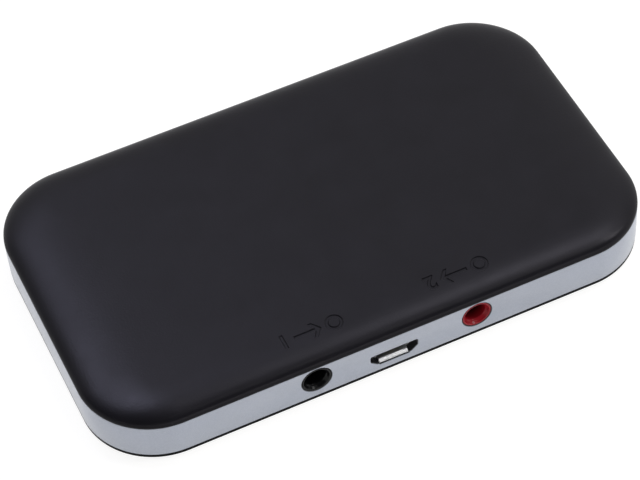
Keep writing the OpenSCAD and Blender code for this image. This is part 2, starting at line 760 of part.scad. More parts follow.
// Printed antenna: a square wave of copper at the open end of the module.
module radio_antenna() color([0.80, 0.55, 0.25]) {
    track_w = 0.5;
    track_t = 0.1;
    track_spacing = 1.5;
    turns = 6;
    x1 = module_x + module_l / 2 - module_margin;
    x0 = x1 - 8 * track_w;
    y0 = module_y - turns * track_spacing / 2;
    for (i = [0:turns]) box([x0, y0 + i * track_spacing - track_w / 2, module_top],
        [x1, y0 + i * track_spacing + track_w / 2, module_top + track_t]);
    for (i = [0:turns - 1]) let (x = i % 2 == 0 ? x1 - track_w : x0)
        box([x, y0 + i * track_spacing, module_top],
            [x + track_w, y0 + (i + 1) * track_spacing, module_top + track_t]);
}

// ---------------------------------------------------------------- small parts on the board

// Chip body with a bevelled roof edge, standing just off the board, with a mark for pin one.
module chip_body(l, w) {
    mark_r = 0.3;
    mark_depth = 0.08;
    roof_z = board_top + chip_stand + chip_h;
    difference() {
        translate([-l / 2, 0, board_top + chip_stand]) rotate([90, 0, 90]) linear_extrude(l) polygon([
            [-w / 2, 0], [w / 2, 0], [w / 2, chip_h - chip_bevel], [w / 2 - chip_bevel, chip_h],
            [chip_bevel - w / 2, chip_h], [-w / 2, chip_h - chip_bevel]
        ]);
        translate([-l / 2 + 2 * mark_r, -w / 2 + chip_bevel + 1.5 * mark_r, roof_z - mark_depth])
            cylinder(r = mark_r, h = over);
    }
}

// One gull wing leg: out of the body, down, and flat on the board.
module leg() {
    knee = leg_l / 3;
    rotate([90, 0, 90]) translate([0, 0, -leg_w / 2]) linear_extrude(leg_w) polygon([
        [0, leg_rise], [knee + leg_t, leg_rise], [knee + leg_t, leg_t], [leg_l, leg_t], [leg_l, 0],
        [knee, 0], [knee, leg_rise - leg_t], [0, leg_rise - leg_t]
    ]);
}

module leg_rows(count, step, body_half) {
    for (i = [0:count - 1], s = [0, 1]) rotate(s * 180)
        translate([(i - (count - 1) / 2) * step, body_half, board_top]) leg();
}

module audio_chip() color([0.09, 0.09, 0.10]) translate([chip_x, chip_y, 0]) chip_body(audio_l, audio_w);

module audio_chip_legs() color([0.80, 0.80, 0.82]) translate([chip_x, chip_y, 0])
    leg_rows(10, audio_leg_spacing, audio_w / 2);

module charger_chip() color([0.09, 0.09, 0.10]) translate([charger_x, charger_y, 0])
    chip_body(charger_l, charger_w);

module charger_chip_legs() color([0.80, 0.80, 0.82]) translate([charger_x, charger_y, 0])
    leg_rows(3, charger_leg_spacing, charger_w / 2);

module power_inductor() color([0.22, 0.22, 0.23]) translate([inductor_x, charger_y, board_top]) {
    linear_extrude(inductor_plate) rounded_rect(inductor_side, inductor_side, part_round);
    translate([0, 0, inductor_plate]) cylinder(r = inductor_side * 0.42, h = inductor_core_h);
    translate([0, 0, inductor_plate + inductor_core_h]) linear_extrude(inductor_plate)
        rounded_rect(inductor_side, inductor_side, part_round);
}

module clock_crystal() color([0.82, 0.82, 0.84]) translate([crystal_x, crystal_y, board_top]) {
    linear_extrude(crystal_base_h) rounded_rect(crystal_l, crystal_w, crystal_ledge_w);
    translate([0, 0, crystal_base_h]) linear_extrude(crystal_can_h)
        rounded_rect(crystal_l - 2 * crystal_ledge_w, crystal_w - 2 * crystal_ledge_w, part_round);
}

module at_capacitors() {
    for (i = [0, 1]) translate([capacitor_x - i * capacitor_spacing, capacitor_y, board_top]) children();
}

module capacitor_bases() color([0.10, 0.10, 0.11]) at_capacitors() {
    half = capacitor_r * 1.08;
    bevel = capacitor_r * 0.4;
    linear_extrude(capacitor_base_h) polygon([
        [-half, -half], [half, -half], [half, half - bevel], [half - bevel, half],
        [bevel - half, half], [-half, half - bevel]
    ]);
}

// Aluminium can with the rolled groove above its base.
module capacitor_cans() color([0.80, 0.80, 0.82]) at_capacitors() translate([0, 0, capacitor_base_h])
    rotate_extrude() let (g = capacitor_r / 10) polygon([
        [0, 0], [capacitor_r, 0], [capacitor_r, 2 * g], [capacitor_r - g, 3 * g], [capacitor_r, 4 * g],
        [capacitor_r, capacitor_h - g], [capacitor_r - g, capacitor_h], [0, capacitor_h]
    ]);

// Places of the small ceramic parts: two rows by the audio chip and one by the socket.
ceramic_places = concat(
    [for (i = [0:4]) [chip_x + (i - 2) * ceramic_spacing, chip_y + ceramic_row]],
    [for (i = [0:3]) [chip_x + (i - 1.5) * ceramic_spacing, chip_y - ceramic_row]],
    [for (i = [0:3]) [usb_x + (i - 2.5) * ceramic_spacing, charger_y + 1.7 * ceramic_spacing]]
);

module ceramic_chips() color([0.62, 0.50, 0.36]) for (p = ceramic_places)
    box([p.x - ceramic_w / 2, p.y - ceramic_l / 2 + terminal_l, board_top],
        [p.x + ceramic_w / 2, p.y + ceramic_l / 2 - terminal_l, board_top + ceramic_h]);

module chip_terminals() color([0.84, 0.84, 0.85]) for (p = ceramic_places, s = [0, 1])
    box([p.x - ceramic_w / 2, p.y - ceramic_l / 2 + s * (ceramic_l - terminal_l), board_top],
        [p.x + ceramic_w / 2, p.y - ceramic_l / 2 + s * (ceramic_l - terminal_l) + terminal_l,
            board_top + ceramic_h]);

// ---------------------------------------------------------------- controls

// Button cap: a face that stands out of the band, a flange that holds it in, and a stem.
module power_button() color([0.62, 0.64, 0.67]) translate([0, 0, control_z]) {
    upright(flange_y, control_y + button_proud - flange_y) stadium(button_w, button_h);
    upright(flange_y, flange_t) stadium(button_w + 2 * flange_side, button_h + 2 * flange_rise);
    bar_y(button_stem_r, button_tip, flange_y + flange_t);
}

module tact_switch_frame() color([0.78, 0.78, 0.80]) difference() {
    box([-tact_w / 2, switch_face - tact_d, board_top], [tact_w / 2, switch_face, board_top + tact_h]);
    translate([0, 0, control_z]) bar_y(tact_stem_r + touch, switch_face - tact_bore_l, switch_face + over);
    // Frame folds, cut back at the rear corners.
    for (s = [-1, 1]) translate([s * tact_w / 2, switch_face - tact_d, board_top])
        box([-tact_fold, -over, -over], [tact_fold, tact_fold, tact_h + over]);
}

module tact_switch_plunger() color([0.12, 0.12, 0.13]) translate([0, 0, control_z])
    bar_y(tact_stem_r, switch_face - tact_bore_l + button_travel + touch, switch_face + tact_stem_out);

module mode_switch_frame() color([0.78, 0.78, 0.80]) {
    slot_w = stub + mode_travel + 2 * touch;
    slot_h = stub + 2 * touch;
    difference() {
        box([mode_x - mode_w / 2, switch_face - mode_d, board_top],
            [mode_x + mode_w / 2, switch_face, board_top + mode_h]);
        // Slot that the stub slides in.
        box([mode_x - slot_w / 2, switch_face - stub_in - touch, control_z - slot_h / 2],
            [mode_x + slot_w / 2, switch_face + over, control_z + slot_h / 2]);
    }
}

module mode_switch_stub() color([0.10, 0.10, 0.11])
    box([knob_x - stub / 2, switch_face - stub_in, control_z - stub / 2],
        [knob_x + stub / 2, switch_face + stub_out, control_z + stub / 2]);

// Knob: a ribbed face in the band's window, a flange that covers the window at both ends of
// the travel, and a socket behind it that takes the switch's stub.
module mode_switch_knob() color([0.12, 0.12, 0.13]) {
    socket_side = stub + 2 * knob_socket_wall;
    socket_y = switch_face + stub_out - knob_socket_l;
    face_y = control_y + knob_proud - knob_rib_rise;
    rib_spacing = knob_w / (knob_ribs + 1);
    difference() {
        translate([knob_x, 0, control_z]) {
            upright(flange_y, face_y - flange_y) rounded_rect(knob_w, knob_h, knob_round);
            upright(flange_y, flange_t) rounded_rect(knob_flange_w, knob_flange_h, knob_round);
            upright(socket_y, flange_y + touch - socket_y) square(socket_side, center = true);
            for (i = [0:knob_ribs - 1]) translate([(i - (knob_ribs - 1) / 2) * rib_spacing, 0, 0])
                box([-knob_rib_w / 2, face_y - touch, knob_round - knob_h / 2],
                    [knob_rib_w / 2, face_y + knob_rib_rise, knob_h / 2 - knob_round]);
        }
        box([knob_x - stub / 2 - touch, socket_y - over, control_z - stub / 2 - touch],
            [knob_x + stub / 2 + touch, switch_face + stub_out + touch, control_z + stub / 2 + touch]);
    }
}

module status_led() color([0.90, 0.90, 0.86]) {
    box([light_x - led_w / 2, switch_face - led_d, board_top],
        [light_x + led_w / 2, switch_face, board_top + led_h]);
    translate([light_x, 0, control_z]) bar_y(led_lens_r, switch_face - touch, switch_face + led_lens_l);
}

module light_pipe() color([0.92, 0.94, 0.96]) translate([light_x, 0, control_z]) {
    bar_y(light_r, switch_face + pipe_gap, control_y);
    bar_y(light_r + pipe_flange, flange_y, flange_y + flange_t);
}

// ---------------------------------------------------------------- nodes

top_cover();
side_band();
base_cover();
case_screws();
foot(-1, -1);  // foot_port_left
foot(1, -1);  // foot_port_right
foot(-1, 1);  // foot_control_left
foot(1, 1);  // foot_control_right
main_board();
jack_housing(output_jack_x, [0.06, 0.06, 0.07]);  // output_jack_housing
contact_spring(output_jack_x, 1, tip_spring_y);  // output_jack_tip_spring
contact_spring(output_jack_x, -1, ring_spring_y);  // output_jack_ring_spring
sleeve_contact(output_jack_x);  // output_jack_sleeve_contact
jack_housing(input_jack_x, [0.62, 0.08, 0.09]);  // input_jack_housing
contact_spring(input_jack_x, 1, tip_spring_y);  // input_jack_tip_spring
contact_spring(input_jack_x, -1, ring_spring_y);  // input_jack_ring_spring
sleeve_contact(input_jack_x);  // input_jack_sleeve_contact
usb_shell();
usb_tongue();
usb_contacts();
battery_cell();
battery_tape();
battery_guard_board();
battery_lead(-1, [0.75, 0.06, 0.06]);  // battery_lead_positive
battery_lead(1, [0.08, 0.08, 0.09]);  // battery_lead_negative
battery_plug();
battery_header();
radio_module_board();
radio_shield_can();
radio_antenna();
audio_chip();
audio_chip_legs();
charger_chip();
charger_chip_legs();
power_inductor();
clock_crystal();
capacitor_bases();
capacitor_cans();
ceramic_chips();
chip_terminals();
power_button();
tact_switch_frame();
tact_switch_plunger();
mode_switch_frame();
mode_switch_stub();
mode_switch_knob();
status_led();
light_pipe();
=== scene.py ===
"""Looks of a slim wireless audio receiver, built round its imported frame."""

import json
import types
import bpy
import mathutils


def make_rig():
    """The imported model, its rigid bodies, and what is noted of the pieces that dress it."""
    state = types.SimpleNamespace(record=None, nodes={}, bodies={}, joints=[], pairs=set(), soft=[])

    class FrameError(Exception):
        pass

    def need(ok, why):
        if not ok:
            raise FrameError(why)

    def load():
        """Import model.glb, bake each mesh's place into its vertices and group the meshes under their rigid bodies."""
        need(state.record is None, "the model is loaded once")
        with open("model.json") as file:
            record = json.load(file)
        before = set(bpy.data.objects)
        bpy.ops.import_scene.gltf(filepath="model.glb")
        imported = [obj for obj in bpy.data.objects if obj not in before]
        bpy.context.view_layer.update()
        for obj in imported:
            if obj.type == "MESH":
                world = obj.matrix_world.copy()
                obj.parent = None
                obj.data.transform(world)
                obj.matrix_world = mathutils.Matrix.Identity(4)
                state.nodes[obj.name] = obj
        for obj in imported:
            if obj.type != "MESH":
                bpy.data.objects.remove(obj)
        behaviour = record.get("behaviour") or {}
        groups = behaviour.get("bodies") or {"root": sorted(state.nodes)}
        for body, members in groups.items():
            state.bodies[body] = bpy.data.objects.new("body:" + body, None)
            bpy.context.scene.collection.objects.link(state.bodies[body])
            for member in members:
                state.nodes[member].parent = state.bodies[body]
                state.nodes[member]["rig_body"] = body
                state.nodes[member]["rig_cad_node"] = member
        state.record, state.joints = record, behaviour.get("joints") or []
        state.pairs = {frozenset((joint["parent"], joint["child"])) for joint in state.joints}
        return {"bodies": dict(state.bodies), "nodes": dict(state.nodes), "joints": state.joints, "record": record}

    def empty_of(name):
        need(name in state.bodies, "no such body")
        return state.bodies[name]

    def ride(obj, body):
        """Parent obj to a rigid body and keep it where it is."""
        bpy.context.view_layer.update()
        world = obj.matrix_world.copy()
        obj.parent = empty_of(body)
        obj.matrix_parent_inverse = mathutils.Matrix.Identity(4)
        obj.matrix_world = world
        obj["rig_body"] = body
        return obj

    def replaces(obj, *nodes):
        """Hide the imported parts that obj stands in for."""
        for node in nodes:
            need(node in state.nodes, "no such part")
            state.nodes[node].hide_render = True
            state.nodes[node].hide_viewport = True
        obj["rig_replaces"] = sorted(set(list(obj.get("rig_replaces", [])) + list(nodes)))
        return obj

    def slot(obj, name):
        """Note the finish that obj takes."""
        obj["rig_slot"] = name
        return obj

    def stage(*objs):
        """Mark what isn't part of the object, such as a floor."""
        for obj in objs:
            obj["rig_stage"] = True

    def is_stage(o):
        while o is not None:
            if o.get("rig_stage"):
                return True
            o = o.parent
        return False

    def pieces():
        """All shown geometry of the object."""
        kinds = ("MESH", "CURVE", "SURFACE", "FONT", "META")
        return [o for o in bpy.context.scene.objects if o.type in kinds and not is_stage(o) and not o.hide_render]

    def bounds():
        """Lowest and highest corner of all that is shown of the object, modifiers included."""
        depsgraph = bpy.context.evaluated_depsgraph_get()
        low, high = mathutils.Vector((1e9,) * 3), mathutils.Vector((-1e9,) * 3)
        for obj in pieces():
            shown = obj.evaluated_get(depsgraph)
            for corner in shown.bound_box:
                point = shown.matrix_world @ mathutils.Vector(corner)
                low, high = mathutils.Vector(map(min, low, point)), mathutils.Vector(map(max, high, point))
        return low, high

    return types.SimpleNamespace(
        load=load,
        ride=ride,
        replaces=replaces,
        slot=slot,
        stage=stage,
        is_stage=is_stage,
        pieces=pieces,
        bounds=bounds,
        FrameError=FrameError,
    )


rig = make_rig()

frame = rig.load()

import json
import logging
import math
from collections.abc import Callable, Iterable, Sequence
from dataclasses import dataclass, field
from enum import Enum

import bmesh
import bpy
from mathutils import Matrix, Vector
from mathutils.bvhtree import BVHTree

logging.basicConfig(level=logging.INFO, format="%(name)s: %(message)s")
LOG = logging.getLogger("receiver")

MM = 0.001  # metres in a millimetre; shapes are written in millimetres
WALL_FACE = 28.2  # distance of the two long sides' faces from the middle
SCREW_X, SCREW_Y = 39.0, 18.7  # distance of the four screws from the middle
JACK_XS, JACK_Z = (-13.7, 14.3), 5.2  # the output jack's and the input jack's axes
SOCKET_X, SOCKET_Z = -0.3, 4.02  # middle of the charge socket
SOCKET_EARS = 0.3  # how far its mouth flares at each end
CONTROL_Z = 4.5  # height of the button, the knob and the light pipe
FLANGE_IN, FLANGE_OUT = 25.45, 26.15  # faces of their flanges, just behind the band

Three = tuple[float, float, float]
Colour = Three
Loop2 = list[tuple[float, float]]
Outline = Callable[[float], Loop2]  # an outline for a growth in millimetres
Piece = bpy.types.Object
Ring = list[Vector]
Rows = Sequence[tuple[float, float]]
Socket = bpy.types.NodeSocket


# ------------------------------------------------------------------ camera and image points


IMAGE_W, IMAGE_H = 640, 480
LONG_SIDE = max(IMAGE_W, IMAGE_H)
LENS_MM = 140.846
SENSOR_MM = 36.0
SHIFT_X, SHIFT_Y = 0.0, 0.0
CAMERA_PLACE = Vector((-96.232, -246.583, 318.499))
CAMERA_AIM = Vector((-1.257, -2.529, 5.0))
CAMERA_ROLL = math.radians(-4.837)

IMAGE_POINTS: dict[str, tuple[float | None, float | None]] = {
    "object_left": (2.9, None),
    "object_right": (638.1, None),
    "object_top": (None, 23.2),
    "object_bottom": (None, 456.8),
    "output_jack": (317.3, 379.8),
    "input_jack": (477.1, 314.9),
    "charge_socket": (395.0, 351.0),
    "band_top_left": (200.5, 415.6),
    "band_top_middle": (440.5, 318.2),
    "band_top_right": (584.5, 260.1),
    "base_line_left": (200.5, 445.1),
    "base_line_middle": (440.5, 347.1),
    "base_line_right": (584.5, 288.0),
    "output_mark": (309.0, 332.0),
    "input_mark": (455.0, 273.0),
}


class Body(Enum):
    """The bodies that pieces ride on."""

    CASE = "case"
    BUTTON = "button"
    SLIDER = "mode_slider"


@dataclass
class StudioCamera:
    """The camera, and the one way from an image point to a place on a surface.

    Attributes:
        place: Where the camera stands, in millimetres.
        aim: The point that it looks at, in millimetres.
        roll: Turn about its own axis, in radians.
    """

    place: Vector = field(default_factory=lambda: CAMERA_PLACE.copy())
    aim: Vector = field(default_factory=lambda: CAMERA_AIM.copy())
    roll: float = CAMERA_ROLL

    def axes(self) -> Matrix:
        """Finds the camera's axes.

        Returns:
            Its right, up and back axes, as a matrix's columns.
        """
        back = (self.place - self.aim).normalized()
        right = Vector((0, 0, 1)).cross(back).normalized()
        level = Matrix((right, back.cross(right), back)).transposed()
        return level @ Matrix.Rotation(self.roll, 3, "Z")

    def build(self) -> Piece:
        """Makes the camera and hands it to the scene.

        Returns:
            The camera's object.
        """
        data = bpy.data.cameras.new("studio_camera")
        data.lens = LENS_MM
        data.sensor_width = SENSOR_MM
        data.sensor_fit = "AUTO"
        data.shift_x, data.shift_y = SHIFT_X, SHIFT_Y
        data.clip_start, data.clip_end = 0.01, 20.0
        data.dof.use_dof = False
        camera = add_object("studio_camera", data)
        camera.matrix_world = Matrix.Translation(self.place * MM) @ self.axes().to_4x4()
        bpy.context.scene.camera = camera
        return camera

    def ray(self, x: float, y: float) -> Vector:
        """Direction from the camera through an image point.

        Args:
            x: Image x, from the left.
            y: Image y, from the top.

        Returns:
            The direction in the row frame, of length 1.
        """
        direction = Vector((
            x - IMAGE_W / 2 + SHIFT_X * LONG_SIDE,
            IMAGE_H / 2 - y + SHIFT_Y * LONG_SIDE,
            -LONG_SIDE * LENS_MM / SENSOR_MM,
        ))
        return (self.axes() @ direction).normalized()

    def project(self, point: Vector) -> Vector:
        """Image point of a place.

        Args:
            point: A place in millimetres.

        Returns:
            Its x and y in the image.
        """
        seen = self.axes().transposed() @ (point - self.place)
        scale = LONG_SIDE * LENS_MM / SENSOR_MM / -seen.z
        return Vector((
            IMAGE_W / 2 - SHIFT_X * LONG_SIDE + seen.x * scale,
            IMAGE_H / 2 + SHIFT_Y * LONG_SIDE - seen.y * scale,
        ))

    def place_on(self, name: str, carrier: BVHTree) -> tuple[Vector, Vector]:
        """Puts an image point on the finished surface that carries its piece.

        Args:
            name: Name of the image point.
            carrier: Tree of the finished carrier, in millimetres.

        Returns:
            The place and the surface's normal there.
        """
        direction = self.ray(*IMAGE_POINTS[name])
        hit, normal, _, _ = carrier.ray_cast(self.place, direction)
        if hit is None:
            along = direction * (self.aim - self.place).dot(direction)
            hit, normal, _, _ = carrier.find_nearest(self.place + along)
        return hit, normal


# ------------------------------------------------------------------ finishes


class Pattern(Enum):
    """How a finish varies over its surface."""

    MOULDED = "fine spark-eroded grain with faint handling marks"
    FLAKED = "satin paint with fine flakes"
    ROLLED = "rolled or plated sheet with faint streaks"
    CRINKLED = "laminated foil with soft creases"
    FOAMED = "open foam cells"
    TRACED = "board mask over copper tracks"
    PRESSED = "pressed powder or ceramic"
    CLEAR = "clear moulding"


class NodeWork:
    """A node tree, with a short way to add and join nodes."""

    def __init__(self, tree: bpy.types.NodeTree) -> None:
        """Takes a tree and empties it.

        Args:
            tree: The tree.
        """
        self.tree = tree
        tree.nodes.clear()

    def add(self, kind: str, inputs: dict[str | int, object] | None = None,
            **settings: object) -> bpy.types.Node:
        """Adds a node.

        Args:
            kind: The node's type name.
            inputs: For each input, its value or the socket that is joined to it.
            **settings: The node's properties.

        Returns:
            The node.
        """
        node = self.tree.nodes.new(kind)
        for key, value in settings.items():
            setattr(node, key, value)
        for key, value in (inputs or {}).items():
            if isinstance(value, Socket):
                self.tree.links.new(value, node.inputs[key])
            else:
                node.inputs[key].default_value = value
        return node

    def maths(self, operation: str, *inputs: float | Socket) -> Socket:
        """Returns the result of a Math node."""
        return self.add("ShaderNodeMath", dict(enumerate(inputs)), operation=operation).outputs[0]

    def spread(self, value: Socket, low: float, high: float, start: float = 0.3, end: float = 0.7,
               soft: bool = False) -> Socket:
        """Maps a value's middle range to another range.

        Args:
            value: The value to map.
            low: Result at the start of the range.
            high: Result at the end of the range.
            start: Where the range starts.
            end: Where the range ends.
            soft: Whether it starts and ends smoothly.

        Returns:
            The mapped value.
        """
        inputs = {"Value": value, "From Min": start, "From Max": end, "To Min": low, "To Max": high}
        kind = "SMOOTHSTEP" if soft else "LINEAR"
        return self.add("ShaderNodeMapRange", inputs, interpolation_type=kind).outputs["Result"]

    def blend(self, share: Socket, first: Colour | Socket, second: Colour | Socket) -> Socket:
        """Mixes two colours by a share.

        Args:
            share: The second colour's share.
            first: A colour or a socket.
            second: A colour or a socket.

        Returns:
            The mixed colour.
        """
        ends = [c if isinstance(c, Socket) else (*c, 1) for c in (first, second)]
        inputs = {0: share, 6: ends[0], 7: ends[1]}
        return self.add("ShaderNodeMix", inputs, data_type="RGBA").outputs[2]


class NodeSheet(NodeWork):
    """A new material's nodes, whose patterns lie on its piece in millimetres."""

    def __init__(self, name: str) -> None:
        """Starts a material with an empty tree.

        Args:
            name: Name of the material.
        """
        self.material = bpy.data.materials.new(name)
        self.material.use_nodes = True
        super().__init__(self.material.node_tree)
        here = self.add("ShaderNodeTexCoord").outputs["Object"]
        self.place = self.scaled(here, (1 / MM, 1 / MM, 1 / MM))

    def scaled(self, place: Socket, scale: Sequence[float]) -> Socket:
        """Returns coordinates scaled along each axis."""
        return self.add("ShaderNodeMapping", {"Vector": place, "Scale": scale}).outputs["Vector"]

    def along(self, axis: int) -> Socket:
        """Returns the coordinate along one axis."""
        return self.add("ShaderNodeSeparateXYZ", {0: self.place}).outputs[axis]

    def cells(self, size: float) -> bpy.types.Node:
        """Returns a node of cells that are about so large, in millimetres."""
        return self.add("ShaderNodeTexVoronoi", {"Vector": self.place, "Scale": 1 / size})

    def noise(self, size: float, detail: float = 2.0, stretch: Sequence[float] | None = None,
              distortion: float = 0.0) -> Socket:
        """Noise whose features have a given size.

        Args:
            size: Size of a feature, in millimetres.
            detail: Octaves of finer noise.
            stretch: Share of the scale along each axis, or None for even noise.
            distortion: How far the noise is warped.

        Returns:
            The noise's value, from 0 to 1.
        """
        return self.add("ShaderNodeTexNoise", {
            "Vector": self.scaled(self.place, stretch) if stretch else self.place,
            "Scale": 1 / size, "Detail": detail, "Distortion": distortion,
        }).outputs["Fac"]


@dataclass(frozen=True)
class Finish:
    """One surface finish, turned into a node material.

    Attributes:
        slot: The record's material slot.
        colour: Base colour, linear.
        rough: Middle roughness.
        pattern: How the finish varies.
        metal: 1 for bare metal.
        mottle: Share by which the colour varies.
        mottle_mm: Size of that variation.
        rough_spread: How far the roughness varies each way.
        grain_um: Height of the surface grain, in thousandths of a millimetre.
        grain_mm: Size of a grain.
        coat: Share of clear coat.
        coat_rough: Roughness of that coat.
        ior: Index of refraction.
        gloss: Level of the plain reflection; 0.5 is what the index gives.
        tint: Colour of that reflection.
        clear: Share of light that passes through.
        accent: Second colour, where the pattern has one.
        core: Dark colour deep inside the openings of the long sides, or None; painted shade there, and on the band
            also its bare moulding.
        core_and_painted_shade_depth: Depths at which that dark colour starts and is full.
        painted_shade_bore: X, z and radius of the one bore that has the painted shade, or None for all openings.
        dull: Heights where the plain reflection is weak and full, and the weak share, or None.
    """

    slot: str
    colour: Colour
    rough: float
    pattern: Pattern = Pattern.MOULDED
    metal: float = 0.0
    mottle: float = 0.08
    mottle_mm: float = 5.0
    rough_spread: float = 0.05
    grain_um: float = 6.0
    grain_mm: float = 0.25
    coat: float = 0.0
    coat_rough: float = 0.2
    ior: float = 1.5
    gloss: float = 0.5
    tint: Colour = (1.0, 1.0, 1.0)
    clear: float = 0.0
    accent: Colour = (0.5, 0.5, 0.5)
    core: Colour | None = None
    core_and_painted_shade_depth: tuple[float, float] = (0.04, 0.15)
    painted_shade_bore: Three | None = None
    dull: Three | None = None

    def shade(self, share: float) -> Colour:
        """Returns the base colour, lighter or darker by a share."""
        return tuple(min(1.0, c * (1 + share)) for c in self.colour)

    def material(self) -> bpy.types.Material:
        """Makes the material once, and returns it after that."""
        name = f"finish_{self.slot}"
        return bpy.data.materials.get(name) or self._make(name)

    def _make(self, name: str) -> bpy.types.Material:
        """Builds the node tree.

        Args:
            name: Name of the material.

        Returns:
            The material.
        """
        sheet = NodeSheet(name)
        mottle = sheet.spread(sheet.noise(self.mottle_mm, 3.0), 0, 1)
        colour = sheet.blend(mottle, self.shade(-self.mottle), self.shade(self.mottle))
        colour, rough, height = self._vary(sheet, colour)
        # Painted shade: the dark core colour deep in the openings of the long sides.
        if self.core:
            colour = sheet.blend(self._core_and_painted_shade_mask(sheet), colour, self.core)
        spread, grain = self.rough_spread, self.grain_um * 1e-3 * MM
        bump = sheet.add("ShaderNodeBump", {"Strength": 1.0, "Distance": grain, "Height": height})
        shader = sheet.add("ShaderNodeBsdfPrincipled", {
            "Base Color": colour, "Metallic": self.metal, "IOR": self.ior,
            "Roughness": sheet.spread(rough, self.rough - spread, self.rough + spread),
            "Specular IOR Level": self.gloss, "Specular Tint": (*self.tint, 1),
            "Coat Weight": self.coat, "Coat Roughness": self.coat_rough,
            "Transmission Weight": self.clear, "Normal": bump.outputs["Normal"],
        })
        if self.dull:
            weak_z, full_z, share = self.dull
            level = sheet.spread(sheet.along(2), self.gloss * share, self.gloss, weak_z, full_z)
            sheet.tree.links.new(level, shader.inputs["Specular IOR Level"])
        sheet.add("ShaderNodeOutputMaterial", {"Surface": shader.outputs["BSDF"]})
        return sheet.material

    def _vary(self, sheet: NodeSheet, colour: Socket) -> tuple[Socket, Socket, Socket]:
        """Adds the finish's pattern.

        Args:
            sheet: The material's nodes.
            colour: The mottled base colour.

        Returns:
            The colour, the roughness from 0 to 1, and the height.
        """
        grain = self.grain_mm
        if self.pattern is Pattern.ROLLED:
            streaks = sheet.noise(grain, 3.0, (0.06, 1, 1))
            return colour, streaks, sheet.noise(grain, 2.0, (0.05, 1, 1))
        rough = sheet.noise(self.mottle_mm * 0.6, 3.0)
        if self.pattern is Pattern.CRINKLED:
            return colour, rough, sheet.noise(grain * 9, 5.0, distortion=1.4)
        if self.pattern is Pattern.TRACED:
            colour, height = self._tracks(sheet, colour)
            return colour, rough, height
        if self.pattern is Pattern.FOAMED:
            height = sheet.cells(grain).outputs["Distance"]
            depth = sheet.spread(height, 0, 1, 0.1, 0.6)
            return sheet.blend(depth, self.shade(0.3), self.shade(-0.6)), rough, height
        if self.pattern is Pattern.FLAKED:
            flake = sheet.cells(grain).outputs["Color"]
            turn = sheet.add("ShaderNodeSeparateColor", {"Color": flake}).outputs[0]
            colour = sheet.blend(sheet.spread(turn, 0, 0.22, 0.0, 1.0), colour, self.accent)
        elif self.pattern is Pattern.PRESSED:
            specks = sheet.spread(sheet.noise(grain * 0.7, 1.0), 0, 0.5, 0.55, 0.7)
            colour = sheet.blend(specks, colour, self.accent)
        return colour, rough, sheet.noise(grain, 2.0)

    def _core_and_painted_shade_mask(self, sheet: NodeSheet) -> Socket:
        """Says how far a point lies behind the flat faces of the port side and the control side.

        Args:
            sheet: The material's nodes.

        Returns:
            1 behind those faces, where the dark core colour paints shade, and 0 on them and round the ends.
        """
        near, deep = self.core_and_painted_shade_depth
        ranges = ((22.0, 22.5), (WALL_FACE - deep, WALL_FACE - near))
        shares = [sheet.spread(sheet.maths("ABSOLUTE", sheet.along(axis)), 1, 0, *limits)
                  for axis, limits in enumerate(ranges)]
        inside = sheet.maths("MULTIPLY", *shares)
        if not self.painted_shade_bore:
            return inside
        x, z, radius = self.painted_shade_bore
        level = sheet.add("ShaderNodeVectorMath", {0: sheet.place, 1: (1, 0, 1)},
                          operation="MULTIPLY")
        apart = sheet.add("ShaderNodeVectorMath", {0: level.outputs[0], 1: (x, 0, z)},
                          operation="DISTANCE").outputs["Value"]
        return sheet.maths("MULTIPLY", sheet.spread(apart, 1, 0, radius, radius + 0.1), inside)

    def _tracks(self, sheet: NodeSheet, mask: Socket) -> tuple[Socket, Socket]:
        """Copper tracks that show through a board's mask, and tinned via holes.

        Args:
            sheet: The material's nodes.
            mask: Colour of the plain mask.

        Returns:
            The colour and the height.
        """
        vias_per_mm = 0.38
        runs = sheet.add("ShaderNodeTexBrick", {
            "Vector": sheet.place, "Color1": (0, 0, 0, 1), "Color2": (0, 0, 0, 1),
            "Mortar": (1, 1, 1, 1), "Scale": 1.0, "Mortar Size": 0.11, "Brick Width": 3.1,
            "Row Height": 0.9,
        }, offset=0.37, squash=1.6, squash_frequency=3)
        level = sheet.add("ShaderNodeRGBToBW", {"Color": runs.outputs["Color"]}).outputs["Val"]
        vias = sheet.spread(sheet.cells(1 / vias_per_mm).outputs["Distance"], 1, 0, 0.09, 0.11)
        return sheet.blend(vias, sheet.blend(level, mask, self.shade(1.1)), self.accent), level


